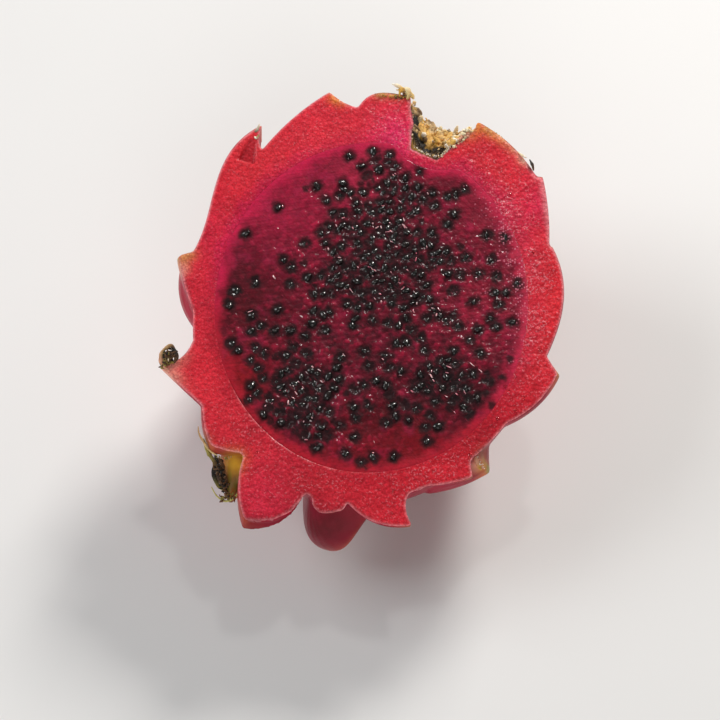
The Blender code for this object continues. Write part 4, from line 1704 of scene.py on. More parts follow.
@dataclass
class Flesh:
    """The dark red flesh, its cut face a fine relief with a socket for each seed."""

    bed: SeedBed
    count: int = 281
    form: FleshForm = FleshForm(grow=0.9)
    under: FleshForm = FleshForm(grow=-0.1)
    rings_below: int = 9
    knife_deg: float = -9.0
    calm_spots: tuple[Spot, ...] = (
        (-26.0, 30.0), (-36.0, 8.0), (-37.0, -20.0), (12.0, -42.0), (32.0, 33.0), (-12.0, 42.0),
    )
    calm_reach: float = 14.0
    deep_red: Colour = (0.20, 0.0055, 0.024)
    zones: tuple[Zone, ...] = (
        Zone((-26.0, 30.0), 15.0, (0.54, 0.013, 0.064), 0.9),
        Zone((-35.0, 2.0), 13.0, (0.095, 0.003, 0.009), 0.95),
        Zone((-37.0, 11.0), 8.0, (0.14, 0.005, 0.017), 0.6),
        Zone((2.0, -32.0), 12.0, (0.075, 0.002, 0.007), 0.85),
        Zone((0.0, 38.0), 10.0, (0.62, 0.026, 0.080), 0.85),
        Zone((33.0, 2.0), 13.0, (0.34, 0.014, 0.040), 0.8),
        Zone((33.0, 30.0), 10.0, (0.44, 0.018, 0.052), 0.7),
        Zone((-36.0, -21.0), 9.0, (0.36, 0.007, 0.014), 1.0),
        Zone((-8.0, -43.0), 11.0, (0.32, 0.006, 0.016), 0.7),
        Zone((12.0, -40.0), 10.0, (0.34, 0.006, 0.014), 0.8),
        Zone((23.0, -24.0), 10.0, (0.06, 0.002, 0.006), 0.85),
        Zone((-17.0, -24.0), 11.0, (0.13, 0.004, 0.013), 0.7),
        Zone((2.0, 18.0), 13.0, (0.19, 0.007, 0.025), 0.4),
    )

    def disc(self) -> tuple[Array, Array]:
        """A square grid pulled into a disc and scaled to the rim.

        A point (a, b) of the square goes to (a sqrt(1 - b^2/2), b sqrt(1 - a^2/2)) in the unit disc.

        Returns:
            Spots on the cut, and their shares of the way to the rim.
        """
        line = np.linspace(-1.0, 1.0, self.count)
        a, b = np.meshgrid(line, line, indexing="ij")
        x, y = a * np.sqrt(1.0 - b * b / 2.0), b * np.sqrt(1.0 - a * a / 2.0)
        turn = np.arctan2(y, x)
        share = np.hypot(x, y)
        reach = self.form.rim(turn) * share
        spots = FLESH.middle + np.stack((reach * np.cos(turn), reach * np.sin(turn)), -1)
        return spots.reshape(-1, 2), share.reshape(-1)

    @staticmethod
    def lumps(spots: Array) -> tuple[Array, Array]:
        """Soft lumps of pulp: how near a lump's middle each spot is, from 0 to 1, and the lump's number."""
        distance, number = Grains(1.45, 83)(spots + 0.55 * shaken(spots, 1.3, (84, 86), 2))
        return smooth(0.80, 0.15, distance), number

    def pulp(self, spots: Array) -> Array:
        """Fine relief: rounded lumps and knife streaks, and streaks alone at the right.

        Args:
            spots: places on the cut.

        Returns:
            A height from 0 to 1 for each spot.
        """
        c, s = math.cos(math.radians(self.knife_deg)), math.sin(math.radians(self.knife_deg))
        along_knife = spots @ np.array(((c, s), (-s, c)))
        streaks = 0.5 + 0.5 * Noise(0.8, 82, 2)(along_knife * np.array((0.12, 1.0)))
        near, number = self.lumps(spots)
        raised = near * (0.3 + 0.7 * number)
        ribbed = 0.6 * bell(spots, (30.0, -4.0), 18.0)
        return (0.70 * raised + 0.30 * streaks) * (1.0 - ribbed) + streaks * ribbed

    def calm(self, spots: Array) -> Array:
        """1 on the smooth, nearly seedless flesh near the rim, and 0 elsewhere."""
        return np.max([bell(spots, spot, self.calm_reach) for spot in self.calm_spots], axis=0)

    @staticmethod
    def busy(spots: Array) -> Array:
        """How crowded with seeds a spot is, from 0 to 1."""
        crowd = np.zeros(len(spots))
        for x, y, wide, high, weight in SEED_CLUSTERS:
            apart = ((spots - (x, y)) / (wide * 1.5, high * 1.5)) ** 2
            crowd += 0.3 * weight * np.exp(-apart.sum(-1))
        return crowd.clip(0.0, 1.0)

    def height(self, spots: Array, share: Array) -> Array:
        """Relief: the seam's waves at the rim, pulp and seed sockets inside, and a step at the lower left.

        Args:
            spots: places on the cut.
            share: their shares of the way to the rim.

        Returns:
            Heights above the cut, in millimetres.
        """
        inward = (1.0 - share) * FLESH.reach
        nearest = nearest_distance(spots, self.bed.seeds[:, :2])
        socket = -0.24 * np.exp(-((nearest / 1.1) ** 2))
        pulp = (0.46 - 0.38 * self.calm(spots)) * (self.pulp(spots) - 0.45 + 0.35 * Noise(0.9, 87, 2)(spots))
        waves = 0.20 * Noise(8.0, 81, 2)(spots) - 0.08
        step = -0.62 * stepped(spots) * np.exp(-inward / 7.0)
        tuck = 0.04 - 0.12 * smooth(0.9, 0.1, inward)
        inside = smooth(0.8, 3.0, inward)
        return seam_height(spots) + tuck + step + inside * (waves + socket) + smooth(0.8, 6.0, inward) * pulp

    def build(self, material: Material) -> None:
        """Makes the flesh: the relief above and the bowl below, sharing the rim.

        Args:
            material: its finish.
        """
        spots, share = self.disc()
        top = np.column_stack((spots, self.height(spots, share)))
        ring = border(self.count, self.count)
        below = self.under.rings(top[ring, :2], self.rings_below)[1:]
        first, around = len(top), len(ring)
        upper = first + np.arange(around)
        lowest = upper + (len(below) - 1) * around
        skirt = (
            band(ring, upper),
            grid_faces(len(below), around, first, wrap=True),
            fan(lowest, first + len(below) * around),
        )
        points = np.vstack((top, below.reshape(-1, 3), below[-1].mean(0)))
        made = Surface(points, [grid_faces(self.count, self.count), *(part[:, ::-1] for part in skirt)])
        made.channels["tone"] = np.tile((*self.deep_red, 1.0), (len(points), 1))
        made.channels["tone"][:first] = self.tone(spots, share)
        lay_down(made.to_object("flesh_half", material), Finish.FLESH, "flesh")

    def tone(self, spots: Array, share: Array) -> Array:
        """Deep red with lighter patches, painted light and shade on the pulp (lighter where it is raised,
        darker in its hollows), and darker round the seeds.

        Towards the rim it takes on the seam's magenta.

        Args:
            spots: places on the cut.
            share: their shares of the way to the rim.

        Returns:
            Colours, with how wet the spot is as a fourth number.
        """
        tone = np.tile(self.deep_red, (len(spots), 1)).astype(float)
        tone = painted(tone, self.zones, spots)
        pulp, busy, calm = self.pulp(spots), self.busy(spots), self.calm(spots)
        tone *= (1.0 + 0.28 * Noise(5.0, 91, 3)(spots))[:, None]
        # Painted light and shade: lighter where the pulp is raised, darker where it is low.
        tone *= (0.72 + 0.66 * pulp * (1.0 - 0.6 * calm))[:, None]
        near, number = self.lumps(spots)
        ruby = smooth(0.62, 0.95, number) * near * (1.0 - 0.7 * calm)
        tone = mixed(tone, (0.46, 0.012, 0.050), 0.50 * ruby)
        blush = smooth(0.10, 0.55, Noise(3.4, 94, 3)(spots)) * (1.0 - 0.6 * busy)
        tone = mixed(tone, (0.44, 0.016, 0.070), 0.45 * blush)
        # Darker lumps drawn at random, and painted shade in the gaps between lumps.
        dark_lumps_and_gap_shade = smooth(0.50, 0.20, number + 0.35 * (1.0 - near)) * (0.35 + 0.65 * busy) * (1.0 - 0.8 * calm)
        tone = mixed(tone, (0.040, 0.005, 0.010), 0.75 * dark_lumps_and_gap_shade)
        clump = smooth(0.0, 0.5, Noise(2.6, 93, 3)(spots) + 0.25 * Noise(0.7, 95)(spots)) * busy
        tone = mixed(tone, (0.026, 0.005, 0.009), 0.55 * clump)
        inward = (1.0 - share) * FLESH.reach
        blurred = inward + 1.6 * Noise(2.5, 92, 2)(spots)
        tone = mixed(tone, seam_tone(spots), 0.95 * smooth(4.0, 0.5, blurred))
        warped = spots + 0.7 * shaken(spots, 1.3, (96, 97), 2)
        halo = smooth(2.8, 1.1, nearest_distance(warped, self.bed.seeds[:, :2]))
        ghost = smooth(1.6, 0.6, nearest_distance(warped, self.bed.ghost_spots))
        tone = mixed(tone, (0.010, 0.004, 0.005), np.maximum(0.92 * halo, 0.84 * ghost))
        ring = np.exp(-(((inward - 2.0) / 3.4) ** 2)) * bell(spots, (42.0, 12.0), 22.0)
        wet = (0.22 + 1.0 * ring + 0.25 * bell(spots, (30.0, 8.0), 16.0)).clip(0.0, 1.0)
        return np.column_stack((tone, wet))


def pebble(along: int, around: int, pole: float, taper: float = 0.0, power: float = 1.0) -> Surface:
    """A ball of size 1 about the x axis, with few faces.

    A ring at the angle p from the axis lies at cos(p) / 2, and its radius is
    sin(p)^power (1 - taper cos(p)) / 2.

    Args:
        along: number of rings.
        around: number of points in a ring.
        pole: angle of the first ring from the axis.
        taper: how much the end at +x is drawn in.
        power: below 1, the ends are blunter.

    Returns:
        The closed ball.
    """
    polar = np.linspace(pole, math.pi - pole, along)[:, None]
    turn = np.linspace(0.0, math.tau, around, endpoint=False)[None]
    across = np.sin(polar) ** power * (1.0 - taper * np.cos(polar))
    parts = np.broadcast_arrays(np.cos(polar), across * np.cos(turn), across * np.sin(turn))
    return Surface.tube(np.stack(parts, -1) / 2.0)


def turned_about(points: Array, axis: int, turns: Array) -> Array:
    """Turns each copy about an axis by its own angle.

    Args:
        points: the points of each copy (copies, points, 3).
        axis: 0, 1 or 2.
        turns: an angle for each copy, in radians.

    Returns:
        The turned points.
    """
    first, second = (k for k in range(3) if k != axis)
    c, s = np.cos(turns)[:, None], np.sin(turns)[:, None]
    made = points.copy()
    made[..., first] = c * points[..., first] - s * points[..., second]
    made[..., second] = s * points[..., first] + c * points[..., second]
    return made


@dataclass
class Seeds:
    """Small black drop-shaped seeds, one piece."""

    bed: SeedBed
    flesh: Flesh
    length: float = 2.6
    width: float = 1.85
    thickness: float = 1.35
    pitch: float = 1.1
    roll: float = 1.0
    sink: float = 0.66

    def build(self, material: Material) -> None:
        """Places a copy for each seed, tilted a little and more or less sunk in its socket.

        Args:
            material: their finish.
        """
        form = pebble(6, 9, 0.12, taper=0.22)
        spots, turns = self.bed.seeds[:, :2], self.bed.seeds[:, 2]
        lot = lots(len(spots), range(101, 106))
        size = np.array((self.length, self.width, self.thickness)) * (0.72 + 0.34 * lot[0])[:, None]
        size[:, 1] *= 0.8 + 0.3 * lot[4]
        points = turned_about(form.points[None] * size[:, None], 1, (lot[1] - 0.5) * self.pitch)
        points = turned_about(points, 0, (lot[2] - 0.5) * self.roll)
        points = turned_about(points, 2, turns)
        level = self.flesh.height(spots, FLESH.share(spots)) + 0.95 * (lot[3] - self.sink)
        points = points + np.column_stack((spots, level))[:, None]
        points += 0.28 * shaken(points, 0.9, range(106, 109))
        lay_down(Surface.copies(form, points).to_object("seeds", material), Finish.SEED)


@dataclass
class Threads:
    """Short wet threads in the flesh, which catch the light; their pale colour is partly painted highlight.
    """

    bed: SeedBed
    flesh: Flesh
    lean_deg: float = -48.0
    spread_deg: float = 34.0
    every: int = 8
    off_seed: float = 1.15
    raised: float = 0.02

    def beside_seeds(self) -> tuple[Array, Array]:
        """Spots at the edges of some seeds, and the way along each edge there."""
        seeds = self.bed.seeds[:: self.every]
        turn = math.tau * lots(len(seeds), (117,))[0]
        spots = seeds[:, :2] + self.off_seed * np.stack((np.cos(turn), np.sin(turn)), -1)
        return spots, turn + math.pi / 2.0

    def build(self, material: Material) -> None:
        """Makes thin spindles that lie on the flesh, most of them leaning the same way.

        Args:
            material: their finish.
        """
        form = pebble(5, 6, 0.25, power=0.7)
        beside, lean_beside = self.beside_seeds()
        loose = self.bed.thread_spots[FLESH.share(self.bed.thread_spots) < 0.95]
        spots = np.vstack((loose, beside))
        lot = lots(len(spots), range(111, 116))
        size = np.column_stack((0.5 + 1.3 * lot[0] ** 2, 0.24 + 0.22 * lot[1] ** 2, 0.24 + 0.12 * lot[1]))
        lean = np.radians(self.lean_deg + self.spread_deg * (lot[2] + lot[3] - 1.0))
        lean[len(loose) :] = lean_beside
        points = turned_about(form.points[None] * size[:, None], 2, lean)
        level = self.flesh.height(spots, FLESH.share(spots)) + self.raised
        points = points + np.column_stack((spots, level))[:, None]
        points += 0.14 * shaken(points, 0.6, range(118, 121))
        lay_down(Surface.copies(form, points).to_object("seed_threads", material), Finish.FLESH)


# Colours of dried tissue
WHITE = (0.98, 0.90, 0.74)
CREAM = (0.95, 0.80, 0.52)
STRAW = (0.84, 0.60, 0.26)
GOLD = (0.84, 0.48, 0.08)
TAN = (0.50, 0.30, 0.13)
BROWN = (0.13, 0.060, 0.024)
BLACK = (0.012, 0.009, 0.007)
OLIVE = (0.34, 0.28, 0.06)
LIME = (0.56, 0.54, 0.15)
PEACH = (0.86, 0.42, 0.28)


@dataclass
class FlowerScar:
    """The dried cup that lines the pit, ragged at its rim and dented into hollows at its floor; the hollows
    and the floor are painted black as shade.

    Each hollow is given by its turn round the pit, its height above the lining and its width.
    """

    lining: float = 1.5
    rise: float = 13.2
    around: int = 110
    clearance: float = 0.12
    least_wall: float = 0.15
    straw: Colour = (0.74, 0.52, 0.26)
    tan: Colour = (0.42, 0.23, 0.09)
    hollows: tuple[tuple[float, float, float], ...] = (
        (-2.45, 1.6, 3.4),
        (-0.85, 2.6, 2.2),
        (-2.85, 7.5, 2.0),
        (-1.60, 1.4, 1.3),
        (-0.35, 7.2, 1.0),
    )

    def dent(self, turn: Array, radius: Array, height: Array) -> Array:
        """How deep in a hollow places of the inner wall lie, from 0 to 1."""
        found = np.zeros(np.broadcast_shapes(turn.shape, radius.shape))
        for where, middle, wide in self.hollows:
            apart = ((turn - where) * radius) ** 2 + (height - middle - self.lining) ** 2
            found = np.maximum(found, np.exp(-apart / wide**2))
        return found

    def build(self, material: Material) -> None:
        """Makes the cup: a profile carried half round the pit's axis.

        The profile runs over the base, up the outer wall, over the rim, down the inner wall and over the
        floor. The inner wall is ridged along its height, and each hollow is a bell-shaped dent.

        Args:
            material: its finish.
        """
        turn = np.linspace(-math.pi + 0.05, -0.05, self.around)[:, None]
        round_it = np.hstack((turn, turn * 0.0))
        up = np.linspace(0.0, 1.0, 30)
        rag = 1.0 + 0.10 * Noise(0.22, 121, 2)(round_it)[:, None]
        outer_h = (up * self.rise)[None] * rag
        inner_h = up[::-1] * (self.rise - self.lining) + self.lining
        inner_h = self.lining + (inner_h[None] - self.lining) * rag
        ridges = Noise(0.16, 122, 2)(round_it)[:, None]
        crumb = Noise(1.2, 123, 3)(np.stack(np.broadcast_arrays(turn * 6.0, inner_h), -1))
        outer_r = PIT.wall(outer_h) + self.clearance
        from_cut = np.minimum(turn + math.pi, -turn)
        thick = self.lining * (0.30 + 0.70 * smooth(0.0, 0.5, from_cut))
        inner_r = PIT.wall(inner_h) - thick * (1.0 + 0.35 * ridges + 0.6 * crumb)
        dent = self.dent(turn, inner_r, inner_h)
        inner_r = np.minimum(inner_r + 0.9 * dent, outer_r[:, ::-1] - self.least_wall)
        floor_r = inner_r[:, -1:] * np.linspace(0.8, 0.1, 6)[None]
        lumps = Noise(1.0, 124, 2)(np.stack(np.broadcast_arrays(turn * 3.0, floor_r), -1))
        floor_h = np.full_like(floor_r, self.lining) * (0.5 + 0.5 * lumps)
        base_r = np.linspace(0.05, 0.9, 5)[None] * outer_r[:, :1]
        radius = np.hstack((base_r, outer_r, inner_r, floor_r))
        height = np.hstack((np.full_like(base_r, -0.1), outer_h, inner_h, floor_h))
        # Painted shade: how far each point is darkened, from the hollows' depth and all of the floor.
        dark = np.hstack((np.zeros_like(base_r), outer_h * 0.0, dent, np.full_like(floor_r, 0.7)))
        made = Surface.tube(PIT.place(turn, radius, height)).outward()
        made.channels["tone"] = self.tone(made.points, dark, height)
        lay_down(made.to_object("flower_scar_lining", material), Finish.DRIED, "flower_scar")

    def tone(self, points: Array, dent: Array, height: Array) -> Array:
        """Straw at the rim, tan below, and black in the hollows and on the floor: painted shade.

        Args:
            points: all points, the two ends of the tube last.
            dent: how deep in a hollow each point of the rings lies.
            height: its height above the floor.

        Returns:
            A colour for each point.
        """
        ends = np.array((0.5, 0.5))
        dark = np.hstack((dent.ravel(), ends))
        rise = np.hstack((height.ravel(), ends * self.rise))
        small = Noise(0.9, 125, 3)(points)
        tone = mixed(self.tan, self.straw, smooth(2.0, 10.0, rise + 4.0 * small))
        streak = Noise(1.6, 126, 2)(np.stack((points[:, 2], points[:, 0] * 0.4), -1))
        tone = mixed(tone, GOLD, smooth(0.0, 0.4, streak) * 0.7)
        tone = mixed(tone, BROWN, smooth(-0.05, -0.4, streak) * 0.85)
        return mixed(tone, BLACK, smooth(0.22, 0.50, dark + 0.25 * small))


@dataclass(frozen=True)
class Strand:
    """A dried curl that runs through these places of the cut's frame and thins out at its ends."""

    line: tuple[Place, ...]
    radius: float
    colour: Colour
    tip_colour: Colour
    flat: float = 0.6
    per_stretch: int = 7
    around: int = 8

    SKY = (0.13, 0.07, 1.0)  # up, a little askew, so that no curl runs along it

    def surface(self) -> Surface:
        """Rings along a smooth curve.

        Between two places b and c, with a before and d after, the curve at a share t is
        (2b + (c - a) t + (2a - 5b + 4c - d) t^2 + (3b - a - 3c + d) t^3) / 2.

        Returns:
            The closed curl, with its colours.
        """
        knots = np.array(self.line)
        knots = np.vstack((2.0 * knots[0] - knots[1], knots, 2.0 * knots[-1] - knots[-2]))
        stretches = len(self.line) - 1
        steps = np.linspace(0.0, stretches - 1e-6, self.per_stretch * stretches + 1)
        start = steps.astype(int)
        t = (steps - start)[:, None]
        a, b, c, d = (knots[start + k] for k in range(4))
        bend = (2 * a - 5 * b + 4 * c - d) * t**2
        twist = (3 * b - a - 3 * c + d) * t**3
        curve = (2 * b + (c - a) * t + bend + twist) / 2.0
        along = np.gradient(curve, axis=0)
        along /= np.linalg.norm(along, axis=-1, keepdims=True)
        side = np.cross(along, self.SKY)
        side /= np.linalg.norm(side, axis=-1, keepdims=True)
        rise = np.cross(side, along)
        share = steps / steps[-1]
        size = self.radius * (0.12 + 0.88 * np.sin(math.pi * (0.04 + 0.92 * share)) ** 0.7)
        size *= 1.0 + 0.35 * Noise(0.8, 131, 2)(curve)
        turn = np.linspace(0.0, math.tau, self.around, endpoint=False)[None, :, None]
        section = np.cos(turn) * side[:, None] + self.flat * np.sin(turn) * rise[:, None]
        made = Surface.tube(curve[:, None] + size[:, None, None] * section).outward()
        tone = mixed(np.tile(self.colour, (len(share), 1)), self.tip_colour, smooth(0.35, 0.9, share))
        tone = np.repeat(tone, self.around, axis=0)
        made.channels["tone"] = np.vstack((tone, tone[0], tone[-1]))
        return made


STRANDS = (
    # Bract at the upper left
    Strand(((-33.4, 50.2, -0.6), (-32.5, 51.6, -0.4), (-31.6, 53.0, 0.0), (-31.1, 54.4, 0.3)),
           0.45, BROWN, WHITE),
    Strand(((-32.6, 51.0, -0.3), (-31.9, 50.2, 0.1), (-31.2, 51.2, 0.2)), 0.30, WHITE, OLIVE),
    # Curled tip at the left
    Strand(((-54.6, -17.6, 0.0), (-55.7, -16.9, 0.2), (-56.7, -15.2, 0.6), (-56.5, -13.2, 1.2),
            (-55.4, -11.9, 1.7)), 0.55, PEACH, TAN),
    Strand(((-56.5, -13.2, 0.8), (-55.3, -11.9, 1.5), (-53.9, -11.4, 1.9), (-52.9, -12.2, 1.6)),
           0.50, TAN, BROWN),
    Strand(((-53.9, -11.4, 1.8), (-52.9, -12.8, 1.5), (-52.5, -14.4, 0.9), (-53.2, -15.9, 0.2)),
           0.60, BLACK, BROWN),
    Strand(((-55.9, -15.8, 0.1), (-54.9, -14.0, 0.6), (-53.8, -13.6, 1.1), (-54.0, -15.2, 0.4)),
           0.75, BROWN, BLACK),
    Strand(((-56.6, -17.4, -0.1), (-55.8, -16.0, 0.3), (-54.8, -14.6, 0.8), (-54.4, -13.0, 1.2)),
           0.90, OLIVE, BROWN),
    # Bract beside the pit
    Strand(((9.2, 62.4, 0.0), (9.4, 64.0, 0.1), (8.6, 65.4, 0.2), (7.2, 66.3, 0.2), (6.0, 66.7, 0.1)),
           0.62, GOLD, WHITE),
    Strand(((8.2, 62.8, 0.1), (8.2, 64.2, 0.3), (9.0, 65.2, 0.3), (9.4, 64.0, 0.5), (9.0, 62.8, 0.3)),
           0.50, GOLD, BROWN),
    Strand(((10.2, 62.0, 0.1), (10.8, 63.4, 0.3), (10.4, 64.8, 0.3), (9.4, 65.6, 0.2)), 0.85, STRAW, CREAM),
    Strand(((9.2, 65.4, 0.0), (10.4, 64.6, 0.0), (11.5, 63.4, -0.1), (12.1, 62.2, -0.2)), 0.75, GOLD, STRAW),
    # Rolled bract at the lower left
    Strand(((-34.2, -40.2, -0.4), (-34.1, -43.6, -1.6), (-34.3, -47.0, -3.8), (-35.6, -50.6, -5.6),
            (-38.6, -52.4, -6.8), (-41.2, -51.2, -6.4), (-42.8, -48.8, -5.4)), 0.30, LIME, LIME, 0.8),
    Strand(((-46.3, -33.4, -0.3), (-46.0, -35.4, -0.4), (-44.6, -38.0, -0.8), (-43.0, -40.1, -1.0),
            (-41.0, -41.4, -1.0)), 0.30, TAN, STRAW, 0.8),
    Strand(((-44.9, -36.6, -1.2), (-43.6, -40.2, -1.5), (-42.0, -42.6, -2.0), (-40.4, -45.2, -3.0)),
           0.55, OLIVE, BROWN),
    Strand(((-41.6, -40.6, -1.6), (-41.2, -43.6, -2.8), (-40.2, -47.4, -4.4), (-38.6, -50.8, -5.6)),
           0.80, BLACK, BROWN),
    Strand(((-40.6, -41.4, -1.9), (-39.6, -44.4, -3.4), (-39.9, -47.0, -4.9), (-38.2, -49.6, -6.0)),
           0.70, BROWN, BLACK),
    Strand(((-41.9, -43.0, -2.4), (-42.2, -45.6, -3.6), (-41.0, -48.4, -4.8), (-39.2, -50.0, -5.4)),
           0.55, BLACK, OLIVE),
    # Bracts at the lower right and the upper right
    Strand(((27.8, -41.2, -1.0), (28.4, -43.2, -2.2), (29.4, -44.7, -3.2)), 0.65, PEACH, GOLD),
    Strand(((41.0, 46.2, -0.2), (42.2, 44.9, 0.1), (43.4, 44.2, 0.1)), 0.35, CREAM, WHITE),
    Strand(((44.2, 43.8, -0.1), (44.9, 42.0, 0.3), (45.2, 40.4, 0.0)), 0.45, BLACK, BROWN),
)


@dataclass(frozen=True)
class Lip:
    """A line of the cut's frame along which crumbs of two colours lie."""

    start: Place
    end: Place
    colours: tuple[Colour, Colour]
    count: int
    size: float = 0.6
    spread: float = 0.8


LIPS = (
    Lip((11.6, 58.5, -0.5), (11.7, 49.5, -0.3), (CREAM, PEACH), 30, 0.50, 0.5),
    Lip((11.7, 48.0, -0.2), (15.0, 45.8, -0.1), (WHITE, CREAM), 20, 0.50, 0.6),
    Lip((15.0, 45.8, -0.1), (19.2, 44.6, -0.1), (WHITE, STRAW), 26, 0.60, 0.8),
    Lip((19.2, 44.6, 0.0), (22.4, 47.8, 0.0), (WHITE, CREAM), 24, 0.60, 0.8),
    Lip((22.4, 47.8, -0.2), (27.6, 51.9, -0.2), (CREAM, PEACH), 30, 1.35, 1.6),
    Lip((23.2, 50.2, -1.2), (28.4, 52.8, -0.8), (WHITE, CREAM), 26, 1.80, 2.0),
    Lip((2.0, 63.3, -0.2), (8.6, 63.0, 0.0), (OLIVE, GOLD), 36, 0.60, 0.8),
    Lip((6.4, 62.9, 0.0), (10.4, 62.8, 0.0), (BROWN, OLIVE), 26, 0.70, 1.0),
    Lip((7.8, 65.4, 0.0), (11.4, 63.2, 0.0), (GOLD, CREAM), 46, 0.80, 1.2),
    Lip((30.8, 54.4, -0.6), (37.0, 50.2, -0.3), (GOLD, OLIVE), 30, 0.50, 0.6),
    Lip((-55.9, -15.2, 0.4), (-53.6, -13.0, 1.0), (BROWN, BLACK), 120, 1.00, 2.6),
    Lip((-54.8, -14.6, 1.0), (-53.4, -12.8, 1.4), (CREAM, OLIVE), 14, 0.55, 2.0),
    Lip((-56.3, -16.0, 0.2), (-55.8, -12.4, 1.2), (TAN, OLIVE), 22, 0.70, 1.2),
    Lip((-56.6, -16.6, 0.1), (-53.6, -15.2, 0.3), (OLIVE, BROWN), 44, 0.90, 1.2),
    Lip((-41.0, -41.6, -1.2), (-37.0, -42.0, -1.2), (TAN, OLIVE), 16, 0.60, 0.8),
    Lip((-41.2, -42.6, -2.0), (-38.4, -51.0, -5.2), (BLACK, BROWN), 90, 0.95, 2.4),
    Lip((-36.6, -51.0, -6.2), (-40.4, -51.8, -6.4), (BROWN, OLIVE), 30, 0.90, 1.8),
    Lip((27.6, -41.0, -1.0), (30.4, -44.8, -3.2), (PEACH, WHITE), 24, 0.60, 1.0),
)


@dataclass
class Crumbs:
    """Crumbs of dried tissue: over the pit's lining, along its lips and on the tips of some bracts."""

    in_pit: int = 170
    clear_of_hollows: float = 0.30

    def pit_places(self, scar: FlowerScar) -> tuple[Array, Array]:
        """Places over the lining, thicker near the cut and the rim.

        Args:
            scar: the lining.

        Returns:
            The places and their colours.
        """
        lot = lots(self.in_pit, range(141, 147))
        near_cut = np.where(lot[0] < 0.5, lot[1] ** 1.6 / 2.0, 1.0 - lot[1] ** 1.6 / 2.0)
        turn = -math.pi + near_cut * math.pi
        height = scar.lining + (scar.rise - scar.lining) * (1.0 - lot[2] ** 1.3)
        radius = PIT.wall(height) - scar.lining * (0.75 + 0.55 * lot[3])
        places = PIT.place(turn, radius, height)
        rise = height / scar.rise + 0.4 * (lot[4] - 0.5)
        patch = Noise(2.6, 148, 2)(places)
        layers = (
            (STRAW, smooth(0.05, 0.4, rise)),
            (CREAM, smooth(0.30, 0.8, rise + 0.5 * (lot[5] - 0.5))),
            (GOLD, smooth(0.10, 0.30, patch) * 0.85),
            (BROWN, smooth(-0.22, -0.42, patch) * 0.85),
            (BLACK, smooth(0.84, 0.92, lot[4]) * smooth(0.7, 0.2, rise)),
            (WHITE, smooth(0.86, 0.94, lot[5] + 0.5 * Noise(3.4, 149, 2)(places))),
        )
        tone = np.array(TAN)
        for colour, share in layers:
            tone = mixed(tone, colour, share)
        keep = scar.dent(turn, radius, height) < self.clear_of_hollows
        return places[keep], tone[keep]

    @staticmethod
    def lip_places() -> tuple[Array, Array, Array]:
        """Places along each lip, each with its size and one of the lip's two colours."""
        places, sizes, tones = [], [], []
        for number, lip in enumerate(LIPS):
            start, end = np.array(lip.start), np.array(lip.end)
            lot = lots(lip.count, range(151, 156), number)
            wander = np.stack((lot[1] - 0.5, lot[2] - 0.5, (lot[3] - 0.6) * 0.6), -1) * lip.spread
            places.append(start + (end - start) * lot[0][:, None] + wander)
            sizes.append(np.full(lip.count, lip.size))
            tones.append(np.where(lot[4][:, None] < 0.55, *(np.array(colour) for colour in lip.colours)))
        return np.vstack(places), np.hstack(sizes), np.vstack(tones)

    def build(self, scar: FlowerScar, material: Material) -> None:
        """Makes the crumbs, small uneven lumps turned every way, and the curls.

        Args:
            scar: the lining that some of them lie on.
            material: their finish.
        """
        form = pebble(4, 6, 0.35)
        pit, pit_tone = self.pit_places(scar)
        lips, lip_sizes, lip_tone = self.lip_places()
        places, tone = np.vstack((pit, lips)), np.vstack((pit_tone, lip_tone))
        lot = lots(len(places), range(161, 168))
        size = np.stack((0.55 + 1.5 * lot[0] ** 2, 0.40 + 0.55 * lot[1], 0.35 + 0.45 * lot[2]), -1)
        size[: len(pit)] *= 0.7 + 1.9 * lot[6][: len(pit), None] ** 2
        size[len(pit) :] *= lip_sizes[:, None]
        points = form.points[None] * size[:, None]
        for axis in range(3):
            points = turned_about(points, axis, math.tau * lot[3 + axis])
        points = points + places[:, None]
        points += 0.16 * shaken(points, 0.5, range(171, 174), 2)
        made = Surface.copies(form, points)
        made.channels["tone"] = np.repeat(tone, points.shape[1], axis=0)
        everything = Surface.joined([made, *(strand.surface() for strand in STRANDS)])
        lay_down(everything.to_object("dried_crumbs_and_curls", material), Finish.DRIED)


@dataclass(frozen=True)
class Drops:
    """Drops of juice on the cut rind."""

    rind: Rind
    spots: tuple[tuple[float, float, float], ...] = (
        (38.9, -29.0, 0.62), (36.0, -22.3, 0.50), (37.0, -23.7, 0.42), (33.9, -31.3, 0.46),
        (40.8, -25.7, 0.55), (26.3, -41.5, 0.55), (45.6, -12.0, 0.50), (47.0, -4.5, 0.42),
        (20.5, -47.6, 0.46), (6.0, -51.5, 0.42), (-6.4, -51.0, 0.46), (-30.4, -40.8, 0.42),
        (44.6, 16.0, 0.40), (38.6, 33.2, 0.42), (31.0, 41.0, 0.38),
    )
    flatness: Place = (1.0, 0.9, 0.62)
    raised: float = 0.05

    def build(self, material: Material) -> None:
        """Makes each drop a flattened ball, half sunk in the cut.

        Args:
            material: their finish.
        """
        form = pebble(9, 16, 0.12)
        form.points = 2.0 * np.roll(form.points, -1, axis=1)
        spots, radii = np.array(self.spots)[:, :2], np.array(self.spots)[:, 2:]
        size = radii * np.array(self.flatness)
        place = np.column_stack((spots, self.rind.height(spots) + self.raised))
        points = form.points[None] * size[:, None] + place[:, None]
        lay_down(Surface.copies(form, points).to_object("juice_drops", material), Finish.JUICE)


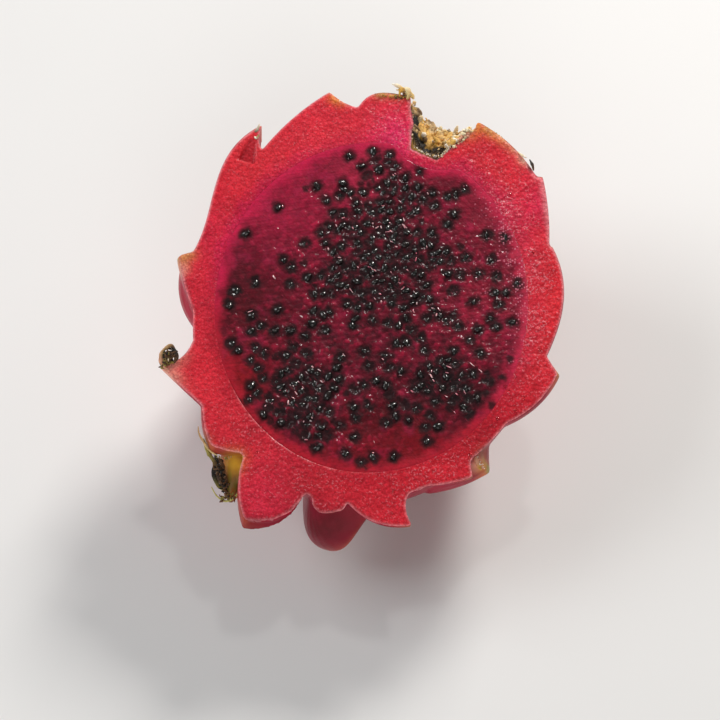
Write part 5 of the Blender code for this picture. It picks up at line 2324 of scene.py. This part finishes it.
@dataclass
class Studio:
    """A plain pale floor, soft light from above and behind, and the camera."""

    elevation_deg: float = 57.0
    distance: float = 0.600
    mm_per_pixel: float = 0.27
    target: Spot = (-2.99, -14.88)
    picture: int = 720
    sensor: float = 36.0
    floor_half: float = 1.5
    room_colour: Colour = (0.86, 0.87, 0.88)
    room_light: float = 0.14
    lamps_aim: Place = (0.0, 0.0, 0.04)
    lamps: tuple[tuple[str, Place, float, float, Colour], ...] = (
        ("key", (0.58, 1.12, 0.80), 0.36, 20.0, (1.0, 0.97, 0.93)),
        ("glint", (0.22, 0.62, 1.25), 0.12, 1.5, (1.0, 0.99, 0.97)),
        ("left", (-1.15, 0.20, 0.85), 0.80, 11.0, (0.97, 0.98, 1.0)),
        ("front", (0.10, -1.20, 0.90), 0.90, 6.0, (1.0, 0.98, 0.96)),
    )

    def build(self) -> None:
        """Makes floor, lights, world and camera."""
        self.floor()
        for lamp in self.lamps:
            self.light(*lamp)
        world = bpy.data.worlds.new("room")
        world.use_nodes = True
        shade = world.node_tree.nodes["Background"]
        shade.inputs["Color"].default_value = (*self.room_colour, 1.0)
        shade.inputs["Strength"].default_value = self.room_light
        scene = bpy.context.scene
        scene.world = world
        scene.view_settings.view_transform = "Standard"
        self.camera()

    def floor(self) -> None:
        """A wide sheet just under the fruit."""
        half = self.floor_half
        corners = [(-half, -half, 0.0), (half, -half, 0.0), (half, half, 0.0), (-half, half, 0.0)]
        mesh = bpy.data.meshes.new("floor")
        mesh.from_pydata(corners, [], [(0, 1, 2, 3)])
        mesh.materials.append(FloorFinish().material())
        made = linked("floor", mesh)

    def light(self, name: str, place: Place, size: float, power: float, colour: Colour) -> None:
        """A square soft light that faces the fruit.

        Args:
            name: its name.
            place: where it hangs, in metres.
            size: length of its side, in metres.
            power: its power in watts.
            colour: the colour of its light.
        """
        lamp = bpy.data.lights.new(name, "AREA")
        lamp.size = size
        lamp.energy = power
        lamp.color = colour
        made = linked(name, lamp)
        made.location = place
        aim = Vector(self.lamps_aim) - Vector(place)
        made.rotation_euler = aim.to_track_quat("-Z", "Y").to_euler()

    def camera(self) -> None:
        """The camera looks along +Y and down onto the cut."""
        data = bpy.data.cameras.new("camera")
        data.lens = self.distance / MM / self.mm_per_pixel * self.sensor / self.picture
        data.sensor_width = self.sensor
        rise = math.radians(self.elevation_deg)
        back = Vector((0.0, -math.cos(rise), math.sin(rise)))
        made = linked("camera", data)
        made.location = LYING @ Vector((*self.target, 0.0)) + back * self.distance
        made.rotation_euler = (math.radians(90.0 - self.elevation_deg), 0.0, 0.0)
        bpy.context.scene.camera = made


def main() -> None:
    """Builds every piece in order."""
    logging.basicConfig(level=logging.INFO, format="%(name)s: %(message)s")
    Studio().build()
    rind = Rind()
    rind.build(SkinFinish().material(), CutRindFinish().material())
    bed = SeedBed()
    flesh = Flesh(bed)
    flesh.build(FleshFinish().material())
    Seeds(bed, flesh).build(SeedFinish().material())
    Threads(bed, flesh).build(ThreadFinish().material())
    dried = DriedFinish().material()
    scar = FlowerScar()
    scar.build(dried)
    Crumbs().build(scar, dried)
    Drops(rind).build(JuiceFinish().material())


if __name__ == "__main__":
    main()
